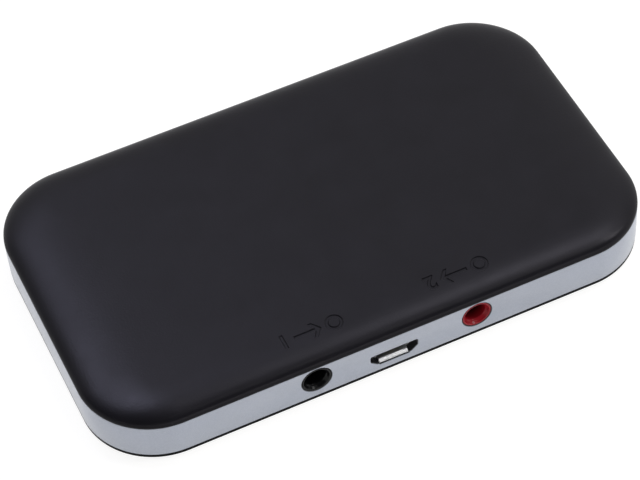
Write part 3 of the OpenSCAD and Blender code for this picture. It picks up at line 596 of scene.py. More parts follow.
FINISHES: dict[str, Finish] = {
    f.slot: f for f in (
        Finish("cover_black", (0.0068, 0.0064, 0.0088), 0.35, mottle=0.13, mottle_mm=7,
               rough_spread=0.03, grain_um=16, grain_mm=0.36, ior=1.31, tint=(0.97, 0.93, 1.0),
               dull=(8.5, 9.15, 0.36)),
        # The band's window walls go near black just behind its face: bare moulding, kept this dark to paint the shade
        # in the gaps round the ports.
        Finish("band_silver", (0.410, 0.446, 0.531), 0.42, Pattern.FLAKED, metal=0.35, mottle=0.03,
               rough_spread=0.03, grain_um=2.0, grain_mm=0.12, coat=0.6, coat_rough=0.25,
               accent=(0.66, 0.69, 0.74), core=(0.02, 0.02, 0.024), core_and_painted_shade_depth=(0.012, 0.10)),
        Finish("base_black", (0.0042, 0.0042, 0.0047), 0.5, grain_um=9, grain_mm=0.3,
               dull=(0.75, 0.62, 0.06)),
        Finish("screw_steel", (0.50, 0.50, 0.51), 0.30, Pattern.ROLLED, metal=1, grain_um=2),
        Finish("foot_rubber", (0.012, 0.012, 0.013), 0.78, mottle=0.25, grain_um=10, grain_mm=0.35),
        Finish("board_green", (0.006, 0.085, 0.030), 0.32, Pattern.TRACED, grain_um=18,
               accent=(0.62, 0.60, 0.52), coat=0.3),
        Finish("jack_black", (0.004, 0.004, 0.005), 0.20, mottle=0.1, grain_um=1.0, gloss=0.14),
        # Painted shade: the red jack's bore turns near black from 0.7 to 2.7 mm deep, where light falls off.
        Finish("jack_red", (0.37, 0.011, 0.021), 0.20, mottle_mm=2, grain_um=1.0, gloss=0.20,
               core=(0.035, 0.001, 0.002), core_and_painted_shade_depth=(0.7, 2.7),
               painted_shade_bore=(JACK_XS[1], JACK_Z, 2.1)),
        Finish("contact_gold", (0.83, 0.58, 0.22), 0.24, Pattern.ROLLED, metal=1, grain_um=1,
               grain_mm=0.1),
        Finish("shell_steel", (0.90, 0.90, 0.91), 0.31, Pattern.ROLLED, metal=1, rough_spread=0.02,
               grain_um=0.1, grain_mm=0.2),
        Finish("tongue_black", (0.010, 0.010, 0.011), 0.45, grain_um=3, grain_mm=0.12),
        Finish("cell_foil", (0.60, 0.61, 0.62), 0.34, Pattern.CRINKLED, metal=1, grain_um=40),
        Finish("tape_foam", (0.020, 0.020, 0.021), 0.9, Pattern.FOAMED, grain_um=40, grain_mm=0.3),
        Finish("tape_yellow", (0.72, 0.45, 0.05), 0.38, Pattern.CRINKLED, grain_um=18, coat=0.2),
        Finish("lead_red", (0.50, 0.012, 0.012), 0.42, mottle=0.06, grain_um=3),
        Finish("lead_black", (0.010, 0.010, 0.011), 0.42, mottle=0.1, grain_um=3),
        Finish("plug_white", (0.74, 0.72, 0.66), 0.40, mottle=0.04, grain_um=3),
        Finish("board_blue", (0.006, 0.030, 0.105), 0.32, Pattern.TRACED, grain_um=14,
               accent=(0.66, 0.60, 0.42), coat=0.3),
        Finish("can_tin", (0.66, 0.66, 0.66), 0.30, Pattern.ROLLED, metal=1, grain_um=2),
        Finish("antenna_copper", (0.70, 0.34, 0.16), 0.30, Pattern.ROLLED, metal=1, grain_um=2),
        Finish("chip_black", (0.014, 0.014, 0.015), 0.58, Pattern.PRESSED, grain_um=5,
               grain_mm=0.12, accent=(0.05, 0.05, 0.05)),
        Finish("solder_tin", (0.70, 0.70, 0.70), 0.26, Pattern.ROLLED, metal=1, grain_um=2),
        Finish("ferrite_grey", (0.050, 0.050, 0.053), 0.62, Pattern.PRESSED, grain_um=8,
               accent=(0.11, 0.11, 0.11)),
        Finish("can_aluminium", (0.72, 0.72, 0.73), 0.26, Pattern.ROLLED, metal=1, grain_um=1.5),
        Finish("ceramic_tan", (0.36, 0.22, 0.12), 0.45, Pattern.PRESSED, grain_um=3, grain_mm=0.1,
               accent=(0.48, 0.36, 0.24)),
        Finish("button_silver", (0.43, 0.455, 0.51), 0.30, Pattern.FLAKED, metal=0.85, mottle=0.03,
               grain_um=1.5, grain_mm=0.1, accent=(0.66, 0.69, 0.74)),
        Finish("knob_black", (0.010, 0.010, 0.011), 0.48, mottle=0.15, grain_um=6, grain_mm=0.2),
        Finish("lamp_white", (0.80, 0.80, 0.74), 0.35, mottle=0.03, grain_um=1.5, coat=0.2),
        Finish("pipe_clear", (0.86, 0.89, 0.92), 0.16, Pattern.CLEAR, mottle=0.03,
               rough_spread=0.03, grain_um=1.2, clear=0.75),
    )
}


# ------------------------------------------------------------------ shape tools


def add_object(name: str, data: bpy.types.ID) -> Piece:
    """Makes an object at the origin and hands it to the scene.

    Args:
        name: Its name.
        data: What it shows.

    Returns:
        The object.
    """
    piece = bpy.data.objects.new(name, data)
    bpy.context.scene.collection.objects.link(piece)
    return piece


class Solid:
    """Rings of points, joined into closed shells. Points are in millimetres."""

    def __init__(self) -> None:
        """Starts an empty solid."""
        self.points: list[Vector] = []
        self.faces: list[tuple[int, ...]] = []

    def loft(self, rings: Sequence[Ring], closed: bool = False) -> "Solid":
        """Joins rings of the same number of points.

        Args:
            rings: The rings, in order.
            closed: Whether the last ring joins the first; otherwise both ends are capped.

        Returns:
            The solid itself.
        """
        first, count = len(self.points), len(rings[0])
        for ring in rings:
            self.points.extend(ring)
        last = len(rings) if closed else len(rings) - 1
        for k in range(last):
            low, high = first + k * count, first + (k + 1) % len(rings) * count
            for i in range(count):
                j = (i + 1) % count
                self.faces.append((low + i, low + j, high + j, high + i))
        if not closed:
            self.faces.append(tuple(range(first + count - 1, first - 1, -1)))
            end = first + (len(rings) - 1) * count
            self.faces.append(tuple(range(end, end + count)))
        return self

    def mesh(self, name: str) -> bpy.types.Mesh:
        """Makes a mesh of the shells, in metres.

        Args:
            name: Its name.

        Returns:
            The mesh.
        """
        mesh = bpy.data.meshes.new(name)
        mesh.from_pydata([p * MM for p in self.points], [], self.faces)
        return mesh

    def piece(self, name: str) -> Piece:
        """Makes an object of the shells at the origin, its faces pointing outwards.

        Args:
            name: Its name.

        Returns:
            The object.
        """
        mesh = self.mesh(name)
        tidy_mesh(mesh)
        return add_object(name, mesh)


def tidy_mesh(mesh: bpy.types.Mesh) -> None:
    """Merges doubles, drops empty faces and turns all faces outwards.

    Args:
        mesh: The mesh, changed in place.
    """
    work = bmesh.new()
    work.from_mesh(mesh)
    bmesh.ops.remove_doubles(work, verts=work.verts, dist=1e-4 * MM)
    bmesh.ops.dissolve_degenerate(work, edges=work.edges, dist=1e-5 * MM)
    bmesh.ops.recalc_face_normals(work, faces=work.faces)
    work.to_mesh(mesh)
    work.free()
    mesh.update()


def finished_mesh(piece: Piece) -> bpy.types.Mesh:
    """Makes a plain mesh of a piece, as its modifiers or its letters shape it.

    Args:
        piece: The piece, left as it is.

    Returns:
        The mesh.
    """
    graph = bpy.context.evaluated_depsgraph_get()
    graph.update()
    return bpy.data.meshes.new_from_object(piece.evaluated_get(graph))


def plain_mesh(piece: Piece) -> None:
    """Applies a piece's modifiers, and leaves a plain mesh.

    Args:
        piece: The piece.
    """
    mesh = finished_mesh(piece)
    piece.modifiers.clear()
    piece.data = mesh


def drop(piece: Piece) -> None:
    """Removes a helper object."""
    bpy.data.objects.remove(piece, do_unlink=True)


def carve(piece: Piece, tools: Iterable[Piece], join: bool = False) -> None:
    """Cuts tools out of a piece, or joins them to it.

    Args:
        piece: The piece.
        tools: Closed shapes, which are removed afterwards.
        join: Whether they are added instead.
    """
    tools = list(tools)
    for tool in tools:
        step = piece.modifiers.new(tool.name, "BOOLEAN")
        step.operation = "UNION" if join else "DIFFERENCE"
        step.solver = "EXACT"
        step.object = tool
    plain_mesh(piece)
    for tool in tools:
        drop(tool)
    tidy_mesh(piece.data)


def dress(piece: Piece, slot: str, body: Body = Body.CASE, replaces: str = "",
          sharp: float = 30.0) -> Piece:
    """Gives a finished piece its shading, its finish, its body and the node that it stands for.

    Args:
        piece: The piece.
        slot: The record's material slot.
        body: The body that it rides on.
        replaces: The CAD node that it stands for, if any.
        sharp: Angle in degrees past which an edge stays sharp.

    Returns:
        The piece.
    """
    piece.data.materials.clear()
    piece.data.materials.append(FINISHES[slot].material())
    piece.data.shade_smooth()
    piece.data.set_sharp_from_angle(angle=math.radians(sharp))
    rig.ride(piece, body.value)
    if replaces:
        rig.replaces(piece, replaces)
    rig.slot(piece, slot)
    LOG.info("%s: %d faces, rides on %s", piece.name, len(piece.data.polygons), body.value)
    return piece


def arc_points(centre: tuple[float, float], radius: float, start: float, end: float,
               steps: int) -> Loop2:
    """Points of an arc, both ends included.

    Args:
        centre: Its centre.
        radius: Its radius.
        start: First angle, in degrees.
        end: Last angle, in degrees.
        steps: Number of parts.

    Returns:
        The points.
    """
    angles = [math.radians(start + (end - start) * i / steps) for i in range(steps + 1)]
    return [(centre[0] + radius * math.cos(a), centre[1] + radius * math.sin(a)) for a in angles]


def circle_loop(radius: float, steps: int = 64) -> Loop2:
    """Circle about the origin, anticlockwise."""
    return arc_points((0, 0), radius, 0, 360 * (steps - 1) / steps, steps - 1)


def rounded_box_loop(width: float, height: float, radius: float, steps: int = 8) -> Loop2:
    """Rounded rectangle about the origin, anticlockwise.

    Args:
        width: Its width.
        height: Its height.
        radius: Radius of its corners.
        steps: Number of steps along each corner.

    Returns:
        Its points.
    """
    x, y = width / 2 - radius, height / 2 - radius
    loop: Loop2 = []
    for centre, start in (((x, y), 0), ((-x, y), 90), ((-x, -y), 180), ((x, -y), 270)):
        loop += arc_points(centre, radius, start, start + 90, steps)
    return loop


def growing_box(width: float, height: float, radius: float, steps: int = 8) -> Outline:
    """Returns a rounded rectangle that can grow on all sides."""
    return lambda grow: rounded_box_loop(width + 2 * grow, height + 2 * grow, radius + grow, steps)


def growing_circle(radius: float, steps: int) -> Outline:
    """Returns a circle that can grow."""
    return lambda grow: circle_loop(radius + grow, steps)


def scaled_loop(loop: Loop2, across: float, up: float) -> Loop2:
    """Scales a loop about the origin."""
    return [(u * across, v * up) for u, v in loop]


def upright(loop: Loop2, x: float, y: float, z: float) -> Ring:
    """Stands a loop up in the plane of X and Z, at a depth y."""
    return [Vector((x + u, y, z + v)) for u, v in loop]


def flat(loop: Loop2, x: float, y: float, z: float) -> Ring:
    """Lays a loop down at a height z."""
    return [Vector((x + u, y + v, z)) for u, v in loop]


def bar(name: str, profile: Outline, rows: Rows, x: float, z: float) -> Piece:
    """Closed bar along Y, whose outline grows from row to row.

    Args:
        name: Name of the object.
        profile: Its outline.
        rows: Growth and y of each row.
        x: Middle of the outline.
        z: Middle of the outline.

    Returns:
        The bar.
    """
    return Solid().loft([upright(profile(grow), x, y, z) for grow, y in rows]).piece(name)


def turned(name: str, rows: Rows, x: float = 0.0, y: float = 0.0, steps: int = 64,
           closed: bool = False) -> Piece:
    """Shape turned about an upright axis.

    Args:
        name: Name of the object.
        rows: Radius and height of each row.
        x: Place of the axis.
        y: Place of the axis.
        steps: Parts of a full turn.
        closed: Whether the last row joins the first.

    Returns:
        The shape.
    """
    rings = [flat(circle_loop(radius, steps), x, y, z) for radius, z in rows]
    return Solid().loft(rings, closed).piece(name)


def box_tool(name: str, low: Sequence[float], high: Sequence[float]) -> Piece:
    """Plain box, used only as a cutting tool."""
    loop = [(low[0], low[1]), (high[0], low[1]), (high[0], high[1]), (low[0], high[1])]
    return Solid().loft([flat(loop, 0, 0, low[2]), flat(loop, 0, 0, high[2])]).piece(name)


@dataclass(frozen=True)
class Grid:
    """Places of the copies of an item, in millimetres.

    Attributes:
        start: Place of the first copy.
        count: Copies in a row.
        step: From one copy to the next.
        rows: Number of rows.
        row_step: From one row to the next.
    """

    start: Three
    count: int
    step: Three
    rows: int = 1
    row_step: Three = (0, 0, 0)


AT_SCREWS = Grid((-SCREW_X, -SCREW_Y, 0), 2, (2 * SCREW_X, 0, 0), 2, (0, 2 * SCREW_Y, 0))


class RepeatTree:
    """Geometry Nodes tree that repeats one item over a grid."""

    NAME = "repeat_in_rows"
    INPUTS = {
        "Geometry": "Geometry", "Item": "Object", "Start": "Vector", "Count": "Int",
        "Step": "Vector", "Rows": "Int", "Row Step": "Vector", "Finish": "Material",
    }

    def __init__(self) -> None:
        """Builds the tree with its named inputs, or finds it."""
        self.tree = bpy.data.node_groups.get(self.NAME) or self._build()

    def _build(self) -> bpy.types.NodeTree:
        """Makes the tree: a grid of points, with the item on each.

        Returns:
            The new tree.
        """
        tree = bpy.data.node_groups.new(self.NAME, "GeometryNodeTree")
        for name, kind in self.INPUTS.items():
            tree.interface.new_socket(name, in_out="INPUT", socket_type=f"NodeSocket{kind}")
        tree.interface.new_socket("Geometry", in_out="OUTPUT", socket_type="NodeSocketGeometry")
        work = NodeWork(tree)
        given = work.add("NodeGroupInput").outputs

        def step(kind: str, inputs: dict[str, Socket], **settings: str) -> Socket:
            """Adds a node, and returns its first output."""
            return work.add(f"GeometryNode{kind}", inputs, **settings).outputs[0]

        rows = step("MeshLine", {"Count": given["Rows"], "Offset": given["Row Step"]},
                    mode="OFFSET")
        line = step("MeshLine", {"Count": given["Count"], "Start Location": given["Start"],
                                 "Offset": given["Step"]}, mode="OFFSET")
        grid = step("InstanceOnPoints", {"Points": rows, "Instance": line})
        item = work.add("GeometryNodeObjectInfo", {"Object": given["Item"]}).outputs["Geometry"]
        copies = step("InstanceOnPoints", {
            "Points": step("RealizeInstances", {"Geometry": grid}), "Instance": item})
        real = step("RealizeInstances", {"Geometry": copies})
        painted = step("SetMaterial", {"Geometry": real, "Material": given["Finish"]})
        work.add("NodeGroupOutput", {"Geometry": painted})
        return tree

    def run(self, name: str, item: Piece, slot: str, grid: Grid, body: Body = Body.CASE,
            replaces: str = "") -> Piece:
        """Repeats an item, dresses the result, and removes the item itself.

        Args:
            name: Name of the finished piece.
            item: What is repeated, drawn about the origin.
            slot: The record's material slot.
            grid: Places of the copies.
            body: The body that the piece rides on.
            replaces: The CAD node that it stands for, if any.

        Returns:
            The finished piece, as a plain mesh.
        """
        piece = add_object(name, bpy.data.meshes.new(name))
        values = {
            "Item": item, "Count": grid.count, "Rows": grid.rows,
            "Start": [c * MM for c in grid.start], "Step": [c * MM for c in grid.step],
            "Row Step": [c * MM for c in grid.row_step], "Finish": FINISHES[slot].material(),
        }
        modifier = piece.modifiers.new("repeat", "NODES")
        modifier.node_group = self.tree
        for socket in self.tree.interface.items_tree:
            if socket.in_out == "INPUT" and socket.name in values:
                modifier[socket.identifier] = values[socket.name]
        plain_mesh(piece)
        drop(item)
        return dress(piece, slot, body, replaces, 35.0)


# ------------------------------------------------------------------ case


@dataclass
class CaseOutline:
    """Rounded rectangle that the case keeps in plan.

    Attributes:
        length: Along X.
        width: Along Y.
        corner: Corner radius.
        steps: Parts of each corner.
    """

    length: float = 97.0
    width: float = 2 * WALL_FACE
    corner: float = 12.7
    steps: int = 28

    def walk(self) -> list[tuple[Vector, Vector]]:
        """Goes round the outline.

        Returns:
            Its places, each with its outward direction.
        """
        x, y = self.length / 2 - self.corner, self.width / 2 - self.corner
        places = []
        for cx, cy, start in ((x, y, 0), (-x, y, 90), (-x, -y, 180), (x, -y, 270)):
            for i in range(self.steps + 1):
                turn = math.radians(start + 90 * i / self.steps)
                out = Vector((math.cos(turn), math.sin(turn), 0))
                places.append((Vector((cx, cy, 0)) + out * self.corner, out))
        return places

    def ring(self, inset: float, z: float) -> Ring:
        """Returns the outline moved inwards, at a height."""
        return [place - out * inset + Vector((0, 0, z)) for place, out in self.walk()]


@dataclass
class CasePart:
    """A part that follows the case's outline.

    Attributes:
        outline: The case's outline.
    """

    outline: CaseOutline = field(default_factory=CaseOutline)

    def rings(self, rows: Rows) -> list[Ring]:
        """Returns the outline at each row's inset and height."""
        return [self.outline.ring(inset, z) for inset, z in rows]


@dataclass
class TopCover(CasePart):
    """Crowned black cover with its lip, ribs and screw bosses.

    Attributes:
        rim: Height at which the crown starts.
        skirt: Upright edge below that.
        crown: Height of the crown above that.
        side_run: Distance over which the crown levels out at the long sides.
        end_run: The same at the two ends.
        fullness: Power of the ellipse; 2 is a plain one.
        leans: How far the face leans from level at each row, in degrees.
        middle: Share of the last row at which the face's middle is drawn.
        wall: Thickness of the roof.
        seam: Rounding of the lower edge.
        lip: Insets of the lip's outer and inner face.
        lip_drop: Depth of the lip.
        lip_edge: Bevel of the lip's edges.
        jack_room: Half width of the room for a jack, and its two ends along Y.
        control_room: Ends along X, ends along Y and top of the room for the controls.
        rib: Width, length and height of a rib.
        rib_step: From one rib to the next.
        boss: Radius and height of each row of a screw boss.
    """

    rim: float = 8.2
    skirt: float = 0.15
    crown: float = 2.2
    side_run: float = 6.5
    end_run: float = 12.0
    fullness: float = 2.3
    leans: tuple[float, ...] = (73, 65, 57, 51, 45, 40, 35, 31, 27, 24, 21, 18, 16, 14, 12, 10,
                                8, 6, 4.5, 3, 1.5, 0)
    middle: float = 0.12
    wall: float = 1.1
    seam: float = 0.12
    lip: tuple[float, float] = (2.15, 3.15)
    lip_drop: float = 1.4
    lip_edge: float = 0.2
    jack_room: Three = (3.35, -27.0, -23.9)
    control_room: tuple[float, ...] = (-25.0, 14.4, 24.9, 27.0, 7.05)
    rib: Three = (0.8, 51.1, 0.9)
    rib_step: float = 16.0
    boss: Rows = ((1.02, 4.05), (2.35, 4.05), (2.5, 4.2), (2.5, 9.36), (0.6, 9.36), (0.6, 9.1),
                  (1.02, 9.1))

    def section(self, run: float) -> Loop2:
        """Inset and height of the crown's outer face, from its edge to where it is level.

        The face is a quarter of a full ellipse, cut where it leans by the same angles all round.

        Args:
            run: Distance over which the crown levels out.

        Returns:
            The points.
        """
        points, power = [], self.fullness
        for lean in self.leans:
            ratio = (math.tan(math.radians(lean)) * run / self.crown) ** (1 / (power - 1))
            rise = (1 + ratio ** power) ** (-1 / power)
            points.append((run * (1 - ratio * rise), self.crown * rise))
        return points

    def shell(self) -> Piece:
        """Makes the shell: lip, seam edge, crown and roof.

        Returns:
            The shell, before its marks are cut.
        """
        walk = self.outline.walk()
        sections = []
        for _, out in walk:
            share = out.x ** 2
            sections.append(self.section(self.side_run * (1 - share) + self.end_run * share))
        outer, inner = self.lip
        edge, low, seam = self.lip_edge, self.rim - self.lip_drop, self.rim - self.skirt
        rings = self.rings([
            (inner, self.rim + self.crown - self.wall), (inner, low + edge), (inner - edge, low),
            (outer + edge, low), (outer, low + edge), (outer, seam),
        ])
        rings += self.rings([(inset, seam + rise) for inset, rise in
                             arc_points((self.seam, self.seam), self.seam, 270, 180, 3)])
        for k in range(len(self.leans)):
            rings.append([
                place - out * section[k][0] + Vector((0, 0, self.rim + section[k][1]))
                for (place, out), section in zip(walk, sections)
            ])
        rings.append([p.lerp(Vector((0, 0, p.z)), self.middle) for p in rings[-1]])
        return Solid().loft(rings).piece("cover_shell")

    def relief_tools(self) -> list[Piece]:
        """Makes the cutting tools for the room in the lip.

        Returns:
            The tools.
        """
        low = self.rim - self.lip_drop - 0.1
        half, front, back = self.jack_room
        tools = [box_tool("jack_relief", (x - half, front, low), (x + half, back, self.rim))
                 for x in JACK_XS]
        left, right, front, back, top = self.control_room
        return tools + [box_tool("control_relief", (left, front, low), (right, back, top))]

    def build(self, camera: StudioCamera) -> Piece:
        """Makes and dresses the cover.

        Args:
            camera: The camera, which places the marks.

        Returns:
            The shell.
        """
        shell = self.shell()
        carrier = BVHTree.FromPolygons(
            [v.co / MM for v in shell.data.vertices], [p.vertices for p in shell.data.polygons]
        )
        marks = JackMarks().tools(camera, carrier)
        carve(shell, self.relief_tools() + marks)
        dress(shell, "cover_black", Body.CASE, "top_cover", 24)
        self.inside()
        return shell

    def inside(self) -> None:
        """Repeats the ribs and the screw bosses under the roof."""
        width, length, height = self.rib
        loop = rounded_box_loop(width, length, width * 0.4, 3)
        rib = Solid().loft([
            flat(scaled_loop(loop, 0.7, 0.99), 0, 0, -height),
            flat(loop, 0, 0, -height + 0.15), flat(loop, 0, 0, 0.06),
        ]).piece("rib")
        roof = self.rim + self.crown - self.wall
        under_roof = Grid((-2 * self.rib_step, 0, roof), 5, (self.rib_step, 0, 0))
        RepeatTree().run("cover_ribs", rib, "cover_black", under_roof)
        boss = turned("boss", self.boss, steps=40, closed=True)
        RepeatTree().run("cover_bosses", boss, "cover_black", AT_SCREWS)


@dataclass
class JackMarks:
    """Plain sunk marks beside the jacks: a ring, an arrow and a number.

    They read upright from the control side.

    Attributes:
        depth: How deep they are sunk.
        height: Height of a mark.
        stroke: Width of its lines.
        slope: Width and height of the sloped walls.
        pitch: From the middle of the arrow to the ring and to the number.
        arrow_mm: Length of the arrow.
        arrow_back: How far its barbs reach back.
        letter_half: Half the thickness of the number, before its slopes.
    """

    depth: float = 0.19
    height: float = 2.7
    stroke: float = 0.36
    slope: float = 0.14
    pitch: float = 4.3
    arrow_mm: float = 4.4
    arrow_back: float = 1.0
    letter_half: float = 0.1

    def tools(self, camera: StudioCamera, carrier: BVHTree) -> list[Piece]:
        """Makes the cutting tools for both marks.

        Args:
            camera: The camera, which places the marks.
            carrier: Tree of the cover.

        Returns:
            The tools.
        """
        tools: list[Piece] = []
        for point, number, outward in (("output_mark", "1", 1), ("input_mark", "2", -1)):
            place, normal = camera.place_on(point, carrier)
            turn = normal.to_track_quat("Z", "Y").to_matrix().to_4x4()
            on_face = Matrix.Translation(place * MM) @ turn
            flip = (on_face.inverted() @ Vector((0, 1, 0, 0))).xy
            spin = Matrix.Rotation(math.atan2(flip.y, flip.x) + math.pi / 2, 4, "Z")
            for piece in (self.ring(), self.arrow(outward), self.number(number)):
                piece.data.transform(on_face @ spin)
                tools.append(piece)
        return tools

    def walls(self, outline: Outline, shift: float) -> list[Ring]:
        """Returns the rows of a sunk sign: a flat floor and slightly flared walls."""
        rows = ((0.0, -self.depth), (self.slope, self.slope - self.depth), (self.slope, 0.3))
        return [flat(outline(grow), shift, 0, z) for grow, z in rows]

    def ring(self) -> Piece:
        """Round sign, for the jack.

        Returns:
            The tool.
        """
        radius, steps = self.height / 2, 48
        hole = radius - self.stroke
        outer = self.walls(growing_circle(radius, steps), -self.pitch)
        inner = self.walls(lambda grow: circle_loop(hole - grow, steps), -self.pitch)
        return Solid().loft(outer + inner[::-1], closed=True).piece("ring_sign")

    def arrow(self, outward: int) -> Piece:
        """Arrow that points out of the jack or into it.

        Args:
            outward: 1 for out, -1 for in.

        Returns:
            The tool.
        """
        half, arm, line = self.arrow_mm / 2, self.height / 2, self.stroke / 2

        def outline(grow: float) -> Loop2:
            """Outline of the arrow.

            Args:
                grow: How far it stands out of its own line on all sides.

            Returns:
                Its points.
            """
            h, d, barb = line + grow, line * 2.83 + grow, half - self.arrow_back
            upper = [(half + grow * 1.4, 0), (barb, arm + grow), (barb - d, arm + grow),
                     (half - d - h, h), (-half - grow, h)]
            return [(u * -outward, v) for u, v in upper + [(u, -v) for u, v in upper[:0:-1]]]

        return Solid().loft(self.walls(outline, 0.25)).piece("arrow_sign")

    def number(self, text: str) -> Piece:
        """Plain number.

        Args:
            text: The number.

        Returns:
            The tool.
        """
        curve = bpy.data.curves.new("number_sign", "FONT")
        curve.body = text
        curve.align_x, curve.align_y = "CENTER", "CENTER"
        curve.size = self.height * 1.36 * MM
        curve.extrude = self.letter_half * MM
        curve.bevel_depth = self.slope * MM
        curve.bevel_resolution = 0
        curve.resolution_u = 6
        sign = add_object("number_sign", curve)
        mesh = finished_mesh(sign)
        drop(sign)
        tidy_mesh(mesh)
        xs, ys = [v.co.x for v in mesh.vertices], [v.co.y for v in mesh.vertices]
        lift = self.letter_half + self.slope - self.depth
        mesh.transform(Matrix.Translation((
            self.pitch * MM - (max(xs) + min(xs)) / 2, -(max(ys) + min(ys)) / 2, lift * MM)))
        return add_object("number_sign", mesh)


FLAP_EDGES = (-2.62, -2.5, -1.2, 0.0, 1.2, 2.5, 2.62)  # along the socket's flaps


def socket_loop(grow: float, ears: float = 0.0) -> Loop2:
    """Outline of the charge socket's metal: wide above, with sloped ends below.

    Args:
        grow: How far it is grown, in millimetres.
        ears: How far its two ends are drawn out.

    Returns:
        The outline, anticlockwise.
    """
    half_w, half_h, r = 3.75 + ears + grow, 1.1 + grow, 0.3 + grow
    low_x, low_z = 2.95 + grow - r * 0.6, -half_h + r
    arcs = [arc_points(centre, r, start, end, 6) for centre, start, end in (
        ((half_w - r, half_h - r), 0, 90), ((-half_w + r, half_h - r), 90, 180),
        ((-half_w + r, 0), 180, 220), ((-low_x, low_z), 230, 270), ((low_x, low_z), 270, 310),
        ((half_w - r, 0), 320, 360))]
    above, below = [(u, half_h) for u in FLAP_EDGES[::-1]], [(u, -half_h) for u in FLAP_EDGES]
    return arcs[0] + above + arcs[1] + arcs[2] + arcs[3] + below + arcs[4] + arcs[5]


class Side(Enum):
    """The two long sides, by the sign of their Y."""

    PORT = -1
    CONTROL = 1


@dataclass
class SideBand(CasePart):
    """Silver ring between the covers, with its windows.

    Attributes:
        low: Height of its lower edge.
        high: Height of its upper edge.
        wall: Thickness.
        edge: Rounding of its edges.
        flare: Rounding of the windows' edges on the port side; half that on the control side.
        gap: Room left round the charge socket.
        knob_x: Middle of the knob's window.
        pipe_x: Middle of the light pipe's window.
    """

    low: float = 1.3
    high: float = 8.05
    wall: float = 2.0
    edge: float = 0.1
    flare: float = 0.22
    gap: float = 0.04
    knob_x: float = -16.0
    pipe_x: float = 12.0

    def window(self, name: str, profile: Outline, x: float, z: float, side: Side) -> Piece:
        """Cutting tool for a window through the wall, with a rounded outer edge.

        Args:
            name: Name of the tool.
            profile: The window's outline.
            x: Its middle.
            z: Its middle.
            side: The side that it is in.

        Returns:
            The tool.
        """
        face, f = self.outline.width / 2, self.flare
        rows = [(f, face + 0.5)]
        rows += [(f - u, face - f + v) for u, v in arc_points((0, 0), f, 90, 0, 4)]
        rows.append((0.0, face - self.wall - 0.5))
        share = 1.0 if side is Side.PORT else 0.5
        return bar(name, profile, [(grow * share, side.value * y) for grow, y in rows], x, z)

    def windows(self) -> list[Piece]:
        """Makes the tools for the jacks, the charge socket and the controls.

        Returns:
            The tools.
        """
        port, control = Side.PORT, Side.CONTROL
        tools = [self.window("jack_window", growing_circle(2.6, 72), x, JACK_Z, port)
                 for x in JACK_XS]
        return tools + [self.window(*row) for row in (
            ("socket_window", lambda grow: socket_loop(self.gap + grow, SOCKET_EARS),
             SOCKET_X, SOCKET_Z, port),
            ("flap_window", growing_box(5.2, 0.76, 0.1), SOCKET_X, SOCKET_Z - 1.0, port),
            ("button_window", growing_box(8.3, 3.3, 1.65, 14), 0, CONTROL_Z, control),
            ("knob_window", growing_box(5.9, 2.7, 0.5), self.knob_x, CONTROL_Z, control),
            ("pipe_window", growing_circle(1.02, 40), self.pipe_x, CONTROL_Z, control))]

    def build(self) -> Piece:
        """Makes and dresses the band.

        Returns:
            The band.
        """
        section: Loop2 = []
        e, w = self.edge, self.wall
        for x, z, start in ((e, self.low + e, 270), (e, self.high - e, 180),
                            (w - e, self.high - e, 90), (w - e, self.low + e, 0)):
            section += arc_points((x, z), e, start, start - 90, 4)
        band = Solid().loft(self.rings(section), closed=True).piece("band_ring")
        carve(band, self.windows())
        return dress(band, "band_silver", Body.CASE, "side_band", 24)


@dataclass
class BaseCover(CasePart):
    """Black base cover: its thin visible edge, the floor, the feet's seats and the screw cups.

    Attributes:
        low: Height of its underside.
        high: Height at which the band stands on it.
        floor: Height of the floor's inner face.
        edge: Rounding of its lower edge.
        step: How far it stands back from the band.
        ledge: Height of the ledge behind the band.
        ledge_inset: Insets of the ledge's two faces.
        cup: Radius and top of a screw cup.
        pad: Radius and top of the raised pad round it.
        seat: Radius and depth of a foot's seat.
        head: Radius and top of the room for a screw's head.
        hole: Radius of the hole for its thread.
    """

    low: float = 0.6
    high: float = 1.3
    floor: float = 1.5
    edge: float = 0.08
    step: float = 0.05
    ledge: float = 1.9
    ledge_inset: tuple[float, float] = (2.15, 3.75)
    cup: tuple[float, float] = (3.3, 4.0)
    pad: tuple[float, float] = (4.7, 1.8)
    seat: tuple[float, float] = (4.15, 0.6)
    head: tuple[float, float] = (2.1, 2.8)
    hole: float = 1.15

    def build(self) -> Piece:
        """Makes and dresses the base cover.

        Returns:
            The base cover.
        """
        low, (outer, inner) = self.low, self.ledge_inset
        rounded = arc_points((self.edge, self.edge), self.edge, 270, 180, 4)
        base = Solid().loft(self.rings([
            (1.2, low), *((self.step + x, low + z) for x, z in rounded), (self.step, self.high),
            (outer, self.high), (outer, self.ledge), (inner, self.ledge), (inner, self.floor),
        ])).piece("base_plate")
        (cup_r, cup_top), (pad_r, pad_top), (seat_r, deep) = self.cup, self.pad, self.seat
        cup = ((cup_r, low + 0.3), (cup_r, cup_top - 0.15), (cup_r - 0.15, cup_top))
        pad = ((pad_r, low + 0.3), (pad_r, pad_top))
        seat = ((seat_r + 0.1, 0.0), (seat_r + 0.1, low), (seat_r, low + 0.1), (seat_r, low + deep),
                (self.head[0], low + deep), self.head, (self.hole, self.head[1]), (self.hole, 5.0))
        places = [(x, y) for x in (-SCREW_X, SCREW_X) for y in (-SCREW_Y, SCREW_Y)]
        cups = [turned(name, rows, *place, steps) for place in places
                for name, rows, steps in (("cup", cup, 48), ("pad", pad, 64))]
        carve(base, cups, join=True)
        carve(base, [turned("seat", seat, *place) for place in places])
        return dress(base, "base_black", Body.CASE, "base_cover")


class Corner(Enum):
    """The four corners that a foot can stand in: sign of x and of y."""

    PORT_LEFT = (-1, -1)
    PORT_RIGHT = (1, -1)
    CONTROL_LEFT = (-1, 1)
    CONTROL_RIGHT = (1, 1)


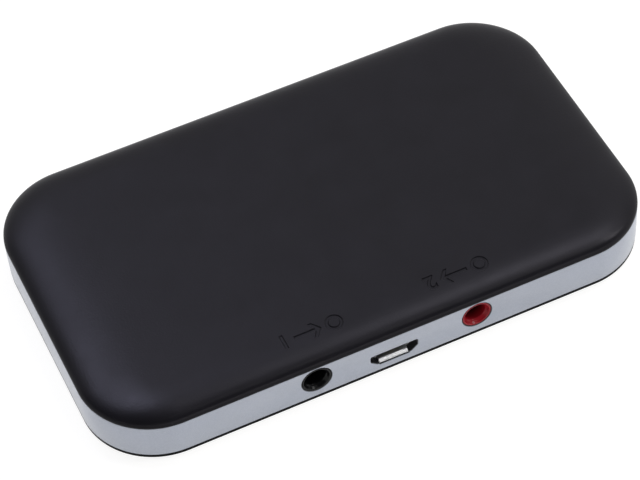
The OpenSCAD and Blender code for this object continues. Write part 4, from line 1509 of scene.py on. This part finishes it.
@dataclass
class RubberFoot:
    """Round rubber foot, with a rounded lower edge and a shallow dish.

    Attributes:
        corner: Where it stands.
        radius: Its radius.
        top: Height of its upper face.
        edge: Rounding of its lower edge.
        bevel: Bevel of its upper edge.
        dish: Radius and height of each row of the dish.
    """

    corner: Corner
    radius: float = 4.0
    top: float = 1.2
    edge: float = 0.3
    bevel: float = 0.06
    dish: Rows = ((1.2, 0.08), (2.4, 0.08), (2.75, 0.0))

    def build(self) -> Piece:
        """Makes and dresses the foot.

        Returns:
            The foot.
        """
        side_x, side_y = self.corner.value
        name = self.corner.name.lower()
        rounded = arc_points((self.radius - self.edge, self.edge), self.edge, 270, 360, 5)
        rows = [*self.dish, *rounded, (self.radius, self.top - self.bevel),
                (self.radius - self.bevel, self.top)]
        foot = turned(f"foot_pad_{name}", rows, side_x * SCREW_X, side_y * SCREW_Y, 72)
        return dress(foot, "foot_rubber", Body.CASE, f"foot_{name}")


@dataclass
class CaseScrews:
    """Four self-tapping screws, repeated from one screw with a cross recess and a thread.

    Attributes:
        head_z: Height of the head's lower face.
        head: Radius and height above that of each row of the head.
        seat_z: Height of the head's seat.
        length: Length of the thread.
        pitch: From one turn of the thread to the next.
        core: Radius at the thread's root.
        crest: Radius at its crest.
        recess: Length and width of half an arm of the recess, and its depth.
    """

    head_z: float = 1.4
    head: Rows = ((1.3, 0.02), (1.65, 0.1), (1.85, 0.35), (1.9, 0.7))
    seat_z: float = 2.8
    length: float = 6.0
    pitch: float = 0.62
    core: float = 0.78
    crest: float = 0.99
    recess: Three = (1.1, 0.24, 0.75)

    def build(self) -> Piece:
        """Makes and dresses the screws.

        Returns:
            The screws, as one piece.
        """
        rows = [(radius, self.head_z + rise) for radius, rise in self.head]
        rows += [(self.head[-1][0], self.seat_z), (self.core + 0.04, self.seat_z)]
        z, tip = self.seat_z + 0.3, self.seat_z + self.length
        while z < tip - 0.9:
            rows += [(self.core, z), (self.crest, z + self.pitch * 0.45),
                     (self.crest, z + self.pitch * 0.55)]
            z += self.pitch
        screw = turned("screw", rows + [(self.core, z), (0.5, tip)], steps=32)
        reach, half, deep = self.recess
        carve(screw, [box_tool("recess", (-a, -b, self.head_z - 0.2), (a, b, self.head_z + deep))
                      for a, b in ((reach, half), (half, reach))])
        return RepeatTree().run("screw_set", screw, "screw_steel", AT_SCREWS,
                                replaces="case_screws")


# ------------------------------------------------------------------ sockets


class JackRole(Enum):
    """What a jack is for: its node's name, its finish and its place along X."""

    OUTPUT = ("output_jack", "jack_black", JACK_XS[0])
    INPUT = ("input_jack", "jack_red", JACK_XS[1])


@dataclass
class AudioJack:
    """3.5 mm jack: a moulded body with a nozzle whose mouth leads into the bore.

    Attributes:
        role: Which of the two jacks it is.
        nozzle: Radius of the nozzle.
        edge: Rounding of its front edge.
        lead: Radius and depth of each row of the lead-in to the bore.
        bore: Radius of the bore.
        face: Y of the nozzle's face.
        front: Y of the body's front.
        back: Y of the body's back.
        width: Width of the body.
        bottom: Height of the body's underside.
        top: Height of its upper face.
        chamfer: Cut of its upper corners.
        bevel: Bevel of its two ends.
        peg: Radius and height of each row of a locating peg.
        peg_ys: Places of the pegs along Y.
        openings: Lowest and highest corner of each contact's opening, from the jack's X.
    """

    role: JackRole
    nozzle: float = 2.5
    edge: float = 0.07
    lead: Rows = ((2.28, -0.2), (2.28, 0.0), (2.245, 0.02), (2.22, 0.06), (2.2, 0.1), (2.02, 0.45),
                  (1.99, 0.5), (1.85, 0.62), (1.8, 0.72))
    bore: float = 1.8
    face: float = -28.1
    front: float = -25.9
    back: float = -13.9
    width: float = 6.4
    bottom: float = 2.7
    top: float = 7.7
    chamfer: float = 0.5
    bevel: float = 0.12
    peg: Rows = ((0.3, 1.9), (0.4, 2.0), (0.4, 2.9))
    peg_ys: tuple[float, float] = (-22.9, -16.9)
    openings: tuple[tuple[Three, Three], ...] = (
        ((0.9, -20.05, 4.5), (3.4, -14.75, 5.9)), ((-3.4, -24.55, 4.5), (-0.9, -19.25, 5.9)),
        ((-0.7, -24.65, 5.2), (0.7, -21.95, 7.9)))

    def body(self, name: str, x: float) -> Piece:
        """Makes the body: a box with cut upper corners and beveled ends.

        Args:
            name: Name of the piece.
            x: The jack's place.

        Returns:
            The body.
        """
        half, cut, middle = self.width / 2, self.chamfer, (self.bottom + self.top) / 2
        low, high = self.bottom - middle, self.top - middle
        loop = [(-half, low), (half, low), (half, high - cut), (half - cut, high),
                (cut - half, high), (-half, high - cut)]
        ends = ((self.bevel, self.front), (0.0, self.front + self.bevel),
                (0.0, self.back - self.bevel), (self.bevel, self.back))
        return Solid().loft([
            upright(scaled_loop(loop, 1 - inset / half, 1 - inset / half), x, y, middle)
            for inset, y in ends]).piece(name)

    def build(self) -> Piece:
        """Makes and dresses the housing.

        Returns:
            The housing.
        """
        name, slot, x = self.role.value
        body = self.body(f"{name}_body", x)
        e, circle = self.edge, growing_circle(0.0, 72)
        rounded = arc_points((self.nozzle - e, self.face + e), e, 0, -90, 5)
        nozzle = bar("nozzle", circle, [(self.nozzle, self.front + 0.6), *rounded], x, JACK_Z)
        pegs = [turned("peg", self.peg, x, y, 20) for y in self.peg_ys]
        carve(body, [nozzle, *pegs], join=True)
        turn = [(r, self.face + deep) for r, deep in self.lead] + [(self.bore, self.back + 0.5)]
        hollow = bar("bore", circle, turn, x, JACK_Z)
        windows = [box_tool("contact_window", (x + low[0], *low[1:]), (x + high[0], *high[1:]))
                   for low, high in self.openings]
        carve(body, [hollow, *windows])
        return dress(body, slot, Body.CASE, f"{name}_housing")


@dataclass
class ChargeSocket:
    """Micro charge socket: drawn steel shell with a flared mouth, its tongue and its contacts.

    Attributes:
        x: Middle of the socket.
        z: Middle of the socket.
        front: Y of its front edge.
        length: Depth of the shell.
        sheet: Thickness of its steel.
        ears_back: How far the corners of the mouth stand back behind the front.
        flap_half: Half the width of the flaps.
        flap_flat: Length of the straight part of the flaps.
        flap_mm: Length of the lower flap's bent part.
        flap_drop: How far it is bent down.
    """

    x: float = SOCKET_X
    z: float = SOCKET_Z
    front: float = -27.7
    length: float = 5.15
    sheet: float = 0.15
    ears_back: float = 0.9
    flap_half: float = 2.55
    flap_flat: float = 0.64
    flap_mm: float = 0.48
    flap_drop: float = 0.31

    def mouth(self, grow: float, low: float, reach: float, y: float, ears: float = 0.0) -> Ring:
        """Outline of the shell at a depth, its flaps brought forwards, the lower one bent down.

        Args:
            grow: How far the outline is grown.
            low: How far the lower flap is bent down.
            reach: How far the flaps come forwards.
            y: The depth.
            ears: How far the two ends are flared.

        Returns:
            The ring.
        """
        ring = []
        for u, v in socket_loop(grow, ears):
            flap = abs(u) < self.flap_half
            bend = -low if v < 0 else 0.15 * low
            ring.append(Vector((self.x + u, y - reach * flap, self.z + v + bend * flap)))
        return ring

    def shell(self) -> Piece:
        """Makes and dresses the shell.

        Returns:
            The shell.
        """
        front, back, t = self.front, self.front + self.length, self.sheet
        edge, bend, low = front + self.ears_back, self.flap_flat, self.flap_drop
        tip = bend + self.flap_mm
        flared = (
            (0.0, 0.0, bend - 0.1, edge + 0.05), (0.0, 0.03, bend, edge + 0.04),
            (0.0, low * 0.9, tip - 0.1, edge + 0.03), (-0.04, low, tip, edge + 0.02),
            (-0.08, low + 0.01, tip + 0.02, edge + 0.01), (-t + 0.02, low, tip, edge),
            (-t, low * 0.95, tip - 0.04, edge + 0.01), (-t, 0.1, bend + 0.16, edge + 0.02),
            (-t, 0.05, bend + 0.08, edge + 0.03), (-t, 0.01, bend, edge + 0.04),
            (-t, 0.0, bend - 0.08, edge + 0.06))
        rows = [(0.0, 0.0, 0.0, back), (0.0, 0.0, 0.0, edge + 0.55),
                (0.0, 0.0, 0.0, edge + 0.1, SOCKET_EARS - 0.02),
                *((*row, SOCKET_EARS) for row in flared),
                (-t, 0.0, 0.0, edge + 0.12, SOCKET_EARS - 0.02),
                (-t, 0.0, 0.0, edge + 0.6), (-t, 0.0, 0.0, back - t)]
        shell = Solid().loft([self.mouth(*row) for row in rows]).piece("socket_shell")
        carve(shell, [box_tool("spring_window", (middle - 0.45, front + 2.05, self.z + 0.87),
                               (middle + 0.45, front + 3.55, self.z + 1.5))
                      for middle in (self.x - 2.1, self.x + 2.1)])
        return dress(shell, "shell_steel", Body.CASE, "usb_shell")

    def tongue(self) -> Piece:
        """Makes and dresses the tongue with its root block.

        Returns:
            The tongue.
        """
        rear, tip = self.front + self.length - self.sheet, self.front + 1.0
        block = bar("socket_tongue", socket_loop,
                    [(-0.27, rear), (-0.27, rear - 1.15), (-0.32, rear - 1.2)], self.x, self.z)
        loop = rounded_box_loop(4.0, 0.6, 0.12, 3)
        rows = ((0.86, tip), (0.97, tip + 0.1), (1.0, tip + 0.3), (1.0, rear - 1.0))
        blade = Solid().loft([upright(scaled_loop(loop, s, s), self.x, y, self.z + 0.3)
                              for s, y in rows]).piece("blade")
        carve(block, [blade], join=True)
        return dress(block, "tongue_black", Body.CASE, "usb_tongue")

    def contacts(self) -> Piece:
        """Repeats one contact five times under the tongue.

        Returns:
            The contacts, as one piece.
        """
        loop = rounded_box_loop(0.3, 0.12, 0.03, 2)
        rows = ((0.0, 0.02, 0.6), (0.0, 0.0, 1.0), (0.35, 0.0, 1.0), (2.6, 0.0, 1.0))
        contact = Solid().loft([upright(scaled_loop(loop, s, s), 0, y, -0.06 - drop_z)
                                for y, drop_z, s in rows]).piece("contact")
        row = Grid((self.x - 1.3, self.front + 1.6, self.z), 5, (0.65, 0, 0))
        return RepeatTree().run("socket_contacts", contact, "contact_gold", row,
                                replaces="usb_contacts")

    def build(self) -> None:
        """Makes the socket's three pieces."""
        self.shell()
        self.tongue()
        self.contacts()


# ------------------------------------------------------------------ controls


def flange_bar(profile: Outline, x: float) -> Piece:
    """Makes the flange that holds a control in behind the band.

    Args:
        profile: Its outline.
        x: Its middle.

    Returns:
        The flange.
    """
    e = 0.06
    rows = ((-e, FLANGE_IN), (0, FLANGE_IN + e), (0, FLANGE_OUT - e), (-e, FLANGE_OUT))
    return bar("flange", profile, rows, x, CONTROL_Z)


@dataclass
class PowerButton:
    """Long button cap with a softly crowned face, the flange that holds it in and its stem.

    Attributes:
        width: Width of the cap.
        height: Height of the cap.
        face: Y of its face.
        crown: Growth of each row of the crowned face, and how far it lies behind the face.
        brim: How far the flange stands out on each side: along X and Z.
        stem: Radius of the stem.
        stem_y: Y of the stem's end.
    """

    width: float = 8.0
    height: float = 3.0
    face: float = 28.6
    crown: Rows = ((0.0, 0.42), (-0.03, 0.28), (-0.12, 0.15), (-0.3, 0.07), (-0.7, 0.02),
                   (-1.2, 0.0))
    brim: tuple[float, float] = (1.2, 0.7)
    stem: float = 1.3
    stem_y: float = 23.55

    def build(self) -> Piece:
        """Makes and dresses the cap.

        Returns:
            The cap.
        """
        def stadium(width: float, height: float) -> Outline:
            """Outline with two round ends."""
            return growing_box(width, height, height / 2 - 1e-3, 14)

        face = [(0.0, FLANGE_OUT - 0.3), *((grow, self.face - back) for grow, back in self.crown)]
        cap = bar("power_cap", stadium(self.width, self.height), face, 0, CONTROL_Z)
        flange = flange_bar(
            stadium(self.width + 2 * self.brim[0], self.height + 2 * self.brim[1]), 0)
        rows = ((-0.1, self.stem_y), (0, self.stem_y + 0.1), (0, FLANGE_OUT - 0.2))
        stem = bar("stem", growing_circle(self.stem, 32), rows, 0, CONTROL_Z)
        carve(cap, [flange, stem], join=True)
        return dress(cap, "button_silver", Body.BUTTON, "power_button")


@dataclass
class ModeSwitch:
    """Sliding knob with three ribs, its flange and the socket that takes the switch's stub.

    Attributes:
        x: Middle of the knob at rest.
        width: Width of the knob.
        height: Height of the knob.
        corner: Rounding of its corners and of the flange's.
        face: Y of its face.
        flange: Width and height of the flange.
        socket: Width of the socket, and y of its end.
        stub_room: Half width of the room for the stub, and y of its two ends.
        rib: Width of a rib.
        rib_rise: How far a rib stands out.
    """

    x: float = -17.0
    width: float = 3.6
    height: float = 2.4
    corner: float = 0.35
    face: float = 28.65
    flange: tuple[float, float] = (8.6, 3.8)
    socket: tuple[float, float] = (3.1, 23.7)
    stub_room: Three = (0.8, 23.5, 24.95)
    rib: float = 0.3
    rib_rise: float = 0.15

    def build(self) -> Piece:
        """Makes and dresses the knob and its ribs.

        Returns:
            The ribs.
        """
        x, z = self.x, CONTROL_Z
        rows = ((0, FLANGE_OUT - 0.2), (0, self.face - 0.16), (-0.05, self.face - 0.05),
                (-0.16, self.face))
        knob = bar("mode_knob", growing_box(self.width, self.height, self.corner, 6), rows, x, z)
        flange = flange_bar(growing_box(*self.flange, self.corner, 6), x)
        wide, end = self.socket
        socket = bar("socket", growing_box(wide, wide, 0.2, 3), ((0, end), (0, FLANGE_IN + 0.2)),
                     x, z)
        carve(knob, [flange, socket], join=True)
        half, near, far = self.stub_room
        carve(knob, [box_tool("stub_room", (x - half, near, z - half), (x + half, far, z + half))])
        dress(knob, "knob_black", Body.SLIDER, "mode_switch_knob")
        loop = rounded_box_loop(self.rib, self.height - 0.7, 0.1, 3)
        rib = Solid().loft([
            upright(loop, 0, -0.05, 0), upright(loop, 0, self.rib_rise - 0.06, 0),
            upright(scaled_loop(loop, 0.6, 0.93), 0, self.rib_rise, 0),
        ]).piece("rib")
        step = self.width / 4
        row = Grid((x - step, self.face, z), 3, (step, 0, 0))
        return RepeatTree().run("mode_knob_ribs", rib, "knob_black", row, Body.SLIDER)


@dataclass
class StatusLight:
    """Clear light pipe with a domed end in the band.

    Attributes:
        x: Its place.
        radius: Its radius.
        brim: Radius of its flange.
        root: Radius and y of each row of its inner end.
        face: Y of the dome's middle.
        dome: Depth of the dome.
        dome_angles: Angles of the dome's rows, in degrees.
    """

    x: float = 12.0
    radius: float = 1.0
    brim: float = 1.6
    root: Rows = ((0.9, 22.75), (1.0, 22.85))
    face: float = 28.2
    dome: float = 0.22
    dome_angles: tuple[float, ...] = (0, 20, 40, 55, 70, 80)

    def build(self) -> Piece:
        """Makes and dresses the light pipe.

        Returns:
            The light pipe.
        """
        edge = self.face - self.dome
        rows = [*self.root, (self.radius, FLANGE_IN), (self.brim, FLANGE_IN),
                (self.brim, FLANGE_OUT), (self.radius, FLANGE_OUT)]
        rows += [(self.radius * math.cos(a), edge + self.dome * math.sin(a))
                 for a in map(math.radians, self.dome_angles)]
        pipe = bar("status_lens", growing_circle(0.0, 48), rows, self.x, CONTROL_Z)
        return dress(pipe, "pipe_clear", Body.CASE, "light_pipe")


@dataclass
class InnerParts:
    """The CAD nodes that keep their shape, with their finishes.

    Attributes:
        nodes: The CAD nodes by name.
    """

    nodes: dict[str, Piece]

    def dress(self) -> None:
        """Gives each material slot of each node its finish."""
        for name, node in self.nodes.items():
            for place in node.material_slots:
                slot = place.material.name.split(".")[0]
                if slot in FINISHES:
                    place.material = FINISHES[slot].material()
            if not node.hide_render:
                LOG.info("%s keeps its CAD shape", name)


# ------------------------------------------------------------------ studio


@dataclass(frozen=True)
class Softbox:
    """Square lamp far from the object.

    Attributes:
        name: Its name.
        towards: Direction from the object to the lamp.
        width: Its width as seen from the object, in degrees.
        height: Its height, in degrees.
        radiance: Its brightness; 1 looks white.
        colour: Its colour.
        distance: How far it stands, in metres.
    """

    name: str
    towards: Three
    width: float
    height: float
    radiance: float
    colour: Colour = (1.0, 1.0, 1.0)
    distance: float = 1.6

    def build(self) -> Piece:
        """Makes the lamp.

        Returns:
            Its object.
        """
        data = bpy.data.lights.new(self.name, "AREA")
        data.shape = "RECTANGLE"
        data.color = self.colour
        data.size = 2 * self.distance * math.tan(math.radians(self.width / 2))
        data.size_y = 2 * self.distance * math.tan(math.radians(self.height / 2))
        data.energy = self.radiance * math.pi * data.size * data.size_y
        lamp = add_object(self.name, data)
        away = Vector(self.towards).normalized()
        turn = away.to_track_quat("Z", "Y").to_matrix().to_4x4()
        lamp.matrix_world = Matrix.Translation(away * self.distance) @ turn
        lamp.visible_camera = False
        return lamp


@dataclass(frozen=True)
class Glow:
    """Broad soft patch of the dome.

    Attributes:
        towards: Direction to its middle.
        start: Cosine at which it starts.
        end: Cosine at which it is full.
        strength: What it adds at its middle.
    """

    towards: Three
    start: float
    end: float
    strength: float


@dataclass
class Studio:
    """Pale floor with a curved back, a dim dome with soft patches, and softboxes.

    Attributes:
        floor_colour: The floor's colour, as it lights the object.
        floor_seen: Its colour to the camera and in reflections.
        floor_glow: What is added to that, so that the floor shows nearly white.
        floor_flat: Radii between which the floor is level, in metres.
        floor_bend: Radius of the curve at its edge, in metres.
        floor_edge: Radius and height of its edge, in metres.
        dome: Strength of the dome.
        glows: Its soft patches.
        lamps: The softboxes.
    """

    floor_colour: Colour = (0.80, 0.78, 0.735)
    floor_seen: Colour = (0.26, 0.254, 0.24)
    floor_glow: float = 0.89
    floor_flat: tuple[float, float] = (0.4, 1.3)
    floor_bend: float = 0.25
    floor_edge: tuple[float, float] = (1.6, 0.55)
    dome: float = 0.18
    glows: tuple[Glow, ...] = (
        Glow((0.20, 0.85, 0.50), 0.35, 0.95, 0.50),
        Glow((0.85, 0.35, 0.40), 0.45, 0.98, 0.38),
    )
    lamps: tuple[Softbox, ...] = (
        Softbox("lamp_overhead", (0.38, 0.05, 0.92), 19, 19, 4.8, (0.97, 0.98, 1.06)),
        Softbox("lamp_back_left", (-0.13, 0.46, 0.88), 18, 18, 6.2, (0.86, 0.90, 1.16)),
        Softbox("lamp_right", (0.60, -0.25, 0.76), 7, 20, 11.0),
        Softbox("lamp_front", (0.235, -0.46, 0.856), 7, 5, 7.0),
        Softbox("lamp_front_low", (0.10, -0.99, 0.09), 52, 9, 1.6, distance=1.15),
    )

    def build(self) -> None:
        """Makes the floor, the world and the lamps, and sets the plain view."""
        self.floor()
        self.world()
        for lamp in self.lamps:
            lamp.build()
        bpy.context.scene.view_settings.view_transform = "Standard"

    def floor(self) -> Piece:
        """Makes the floor: pale to the camera and in reflections, with the object's shadow.

        Returns:
            The floor.
        """
        start, end = self.floor_flat
        bend = self.floor_bend
        rows = [(start, 0.0), (end, 0.0)]
        rows += [(end + bend * math.sin(a), bend - bend * math.cos(a))
                 for a in map(math.radians, range(10, 81, 10))]
        disc = Solid().loft([flat(circle_loop(r / MM, 72), 0, 0, z / MM)
                             for r, z in (*rows, self.floor_edge)])
        disc.faces.pop()  # the upper end stays open
        mesh = disc.mesh("studio_floor")
        mesh.shade_smooth()
        floor = add_object("studio_floor", mesh)
        mesh.materials.append(self.floor_material())
        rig.stage(floor)
        return floor

    def floor_material(self) -> bpy.types.Material:
        """Makes the floor's material.

        Returns:
            The material.
        """
        material = bpy.data.materials.new("studio_floor")
        material.use_nodes = True
        work = NodeWork(material.node_tree)
        path = work.add("ShaderNodeLightPath").outputs
        seen = path["Is Camera Ray"]
        for name in ("Is Glossy Ray", "Is Transmission Ray"):
            seen = work.maths("MAXIMUM", seen, path[name])
        tone = work.blend(seen, self.floor_colour, self.floor_seen)
        glow = work.maths("MULTIPLY", seen, self.floor_glow)
        matte = work.add("ShaderNodeBsdfDiffuse", {"Color": tone})
        light = work.add("ShaderNodeEmission", {"Strength": glow})
        both = work.add("ShaderNodeAddShader", {0: matte.outputs[0], 1: light.outputs[0]})
        work.add("ShaderNodeOutputMaterial", {"Surface": both.outputs[0]})
        return material

    def world(self) -> None:
        """Makes the dome: dim, with its soft patches."""
        world = bpy.data.worlds.new("studio_dome")
        bpy.context.scene.world = world
        world.use_nodes = True
        work = NodeWork(world.node_tree)
        place = work.add("ShaderNodeTexCoord").outputs["Generated"]
        total: float | Socket = self.dome
        for glow in self.glows:
            towards = Vector(glow.towards).normalized()
            along = work.add("ShaderNodeVectorMath", {0: place, 1: towards},
                             operation="DOT_PRODUCT").outputs["Value"]
            level = work.spread(along, 0.0, glow.strength, glow.start, glow.end, soft=True)
            total = work.maths("ADD", level, total)
        back = work.add("ShaderNodeBackground", {"Strength": total})
        work.add("ShaderNodeOutputWorld", {"Surface": back.outputs[0]})


# ------------------------------------------------------------------ measures


class ImageCheck:
    """Measures how far the finished pieces show from their image points."""

    CLOSE = 0.08  # how near a point may be to what hides it, in millimetres
    MARK_DEPTHS = (0.08, 0.3)  # below the cover's face, of the floor of a mark
    MARK_YS = (-26.5, -18.0)  # where the marks lie
    MARK_XS = {"output_mark": (-25, 2), "input_mark": (2, 30)}
    BASE_LINE = (0.1, 0.66)  # inset and height of the base's lower edge

    def __init__(self, camera: StudioCamera) -> None:
        """Collects what shows.

        Args:
            camera: The camera.
        """
        self.camera = camera
        self.seen: dict[str, list[Vector]] = {}
        points: list[Vector] = []
        faces: list[list[int]] = []
        graph = bpy.context.evaluated_depsgraph_get()
        for piece in bpy.context.scene.objects:
            if piece.type != "MESH" or piece.hide_render or piece.name == "studio_floor":
                continue
            mesh = piece.evaluated_get(graph).to_mesh()
            first = len(points)
            points += [v.co / MM for v in mesh.vertices]
            faces += [[first + i for i in p.vertices] for p in mesh.polygons]
            self.seen[piece.name] = points[first:]
        self.tree = BVHTree.FromPolygons(points, faces)

    def shows(self, point: Vector) -> bool:
        """Says whether nothing hides a point from the camera.

        Args:
            point: The point.

        Returns:
            True where it shows.
        """
        way = point - self.camera.place
        hit, _, _, distance = self.tree.ray_cast(self.camera.place, way.normalized())
        return hit is None or distance > way.length - self.CLOSE

    def showing(self, piece: str, test: Callable[[Vector], bool] = lambda p: True) -> list[Vector]:
        """Image points of a piece's vertices that show.

        Args:
            piece: Name of the piece.
            test: Which of its vertices count.

        Returns:
            Their image points.
        """
        return [self.camera.project(p) for p in self.seen[piece] if test(p) and self.shows(p)]

    def line(self, inset: float, z: float) -> list[Vector]:
        """Returns the image points of the case's outline on the port side."""
        return [self.camera.project(p) for p in CaseOutline().ring(inset, z) if p.y < 0]

    @staticmethod
    def middle(points: Sequence[Vector]) -> tuple[float, float]:
        """Returns the middle of the box round some image points."""
        xs, ys = [p.x for p in points], [p.y for p in points]
        return (min(xs) + max(xs)) / 2, (min(ys) + max(ys)) / 2

    @staticmethod
    def height_at(points: Sequence[Vector], x: float) -> float:
        """Y of a line of image points at a given x.

        Args:
            points: The line's image points.
            x: The x.

        Returns:
            The y.
        """
        left = max((p for p in points if p.x <= x), key=lambda p: p.x)
        right = min((p for p in points if p.x > x), key=lambda p: p.x)
        return left.y + (right.y - left.y) * (x - left.x) / (right.x - left.x)

    def found(self) -> dict[str, tuple[float | None, float | None]]:
        """Finds where each named thing shows.

        Returns:
            Its x and y, where they are measured.
        """
        everything = [p for piece in self.seen for p in self.showing(piece)]
        xs, ys = [p.x for p in everything], [p.y for p in everything]
        found = {
            "object_left": (min(xs), None), "object_right": (max(xs), None),
            "object_top": (None, min(ys)), "object_bottom": (None, max(ys)),
        }
        for role in JackRole:
            name = role.value[0]
            rim = self.showing(f"{name}_body", lambda p: p.y < AudioJack.face + 0.2)
            found[name] = self.middle(rim)
        found["charge_socket"] = self.middle(self.showing(
            "band_ring", lambda p: p.y < 0.02 - WALL_FACE and abs(p.x) < 6 and 2.4 < p.z < 5.6))
        lines = {"band_top": self.line(0, SideBand.high), "base_line": self.line(*self.BASE_LINE)}
        for name, line in lines.items():
            for part in ("left", "middle", "right"):
                x = IMAGE_POINTS[f"{name}_{part}"][0]
                found[f"{name}_{part}"] = (x, self.height_at(line, x))
        for name, (low, high) in self.MARK_XS.items():
            marks = [p for p in self.seen["cover_shell"] if low < p.x < high
                     and self.MARK_YS[0] < p.y < self.MARK_YS[1] and self.is_mark(p)]
            if marks:
                found[name] = self.middle([self.camera.project(p) for p in marks])
        return found

    def measure(self) -> dict[str, list[float | None]]:
        """Measures every image point.

        Returns:
            How far in x and y each thing shows from its point.
        """
        found = self.found()
        return {name: [None if want is None or have is None else round(have - want, 2)
                       for want, have in zip(point, found.get(name, (None, None)))]
                for name, point in IMAGE_POINTS.items()}

    def is_mark(self, point: Vector) -> bool:
        """Says whether a vertex of the cover lies on the floor of a mark.

        Args:
            point: The vertex.

        Returns:
            True on a mark's floor.
        """
        cover = TopCover()
        section = cover.section(cover.side_run)
        inset = WALL_FACE + point.y
        level = cover.crown
        for (a, za), (b, zb) in zip(section, section[1:]):
            if a <= inset <= b:
                level = za + (zb - za) * (inset - a) / max(b - a, 1e-9)
        least, most = self.MARK_DEPTHS
        return least < cover.rim + level - point.z < most


def write_json(path: str, value: object) -> None:
    """Writes a value as JSON."""
    with open(path, "w", encoding="utf-8") as out:
        json.dump(value, out, indent=1)


def main() -> None:
    """Builds the scene in order and reports its measures."""
    cad_box = [list(corner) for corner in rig.bounds()]
    camera = StudioCamera()
    camera.build()
    Studio().build()
    BaseCover().build()
    SideBand().build()
    TopCover().build(camera)
    for corner in Corner:
        RubberFoot(corner).build()
    CaseScrews().build()
    for role in JackRole:
        AudioJack(role).build()
    for part in (ChargeSocket(), PowerButton(), ModeSwitch(), StatusLight()):
        part.build()
    InnerParts(frame["nodes"]).dress()
    bpy.context.view_layer.update()
    offsets = ImageCheck(camera).measure()
    write_json("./points.json", offsets)
    LOG.info("image offsets: %s", offsets)
    write_json("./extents.json", {"cad": cad_box, "visual": [list(corner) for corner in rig.bounds()]})


if __name__ == "__main__":
    main()
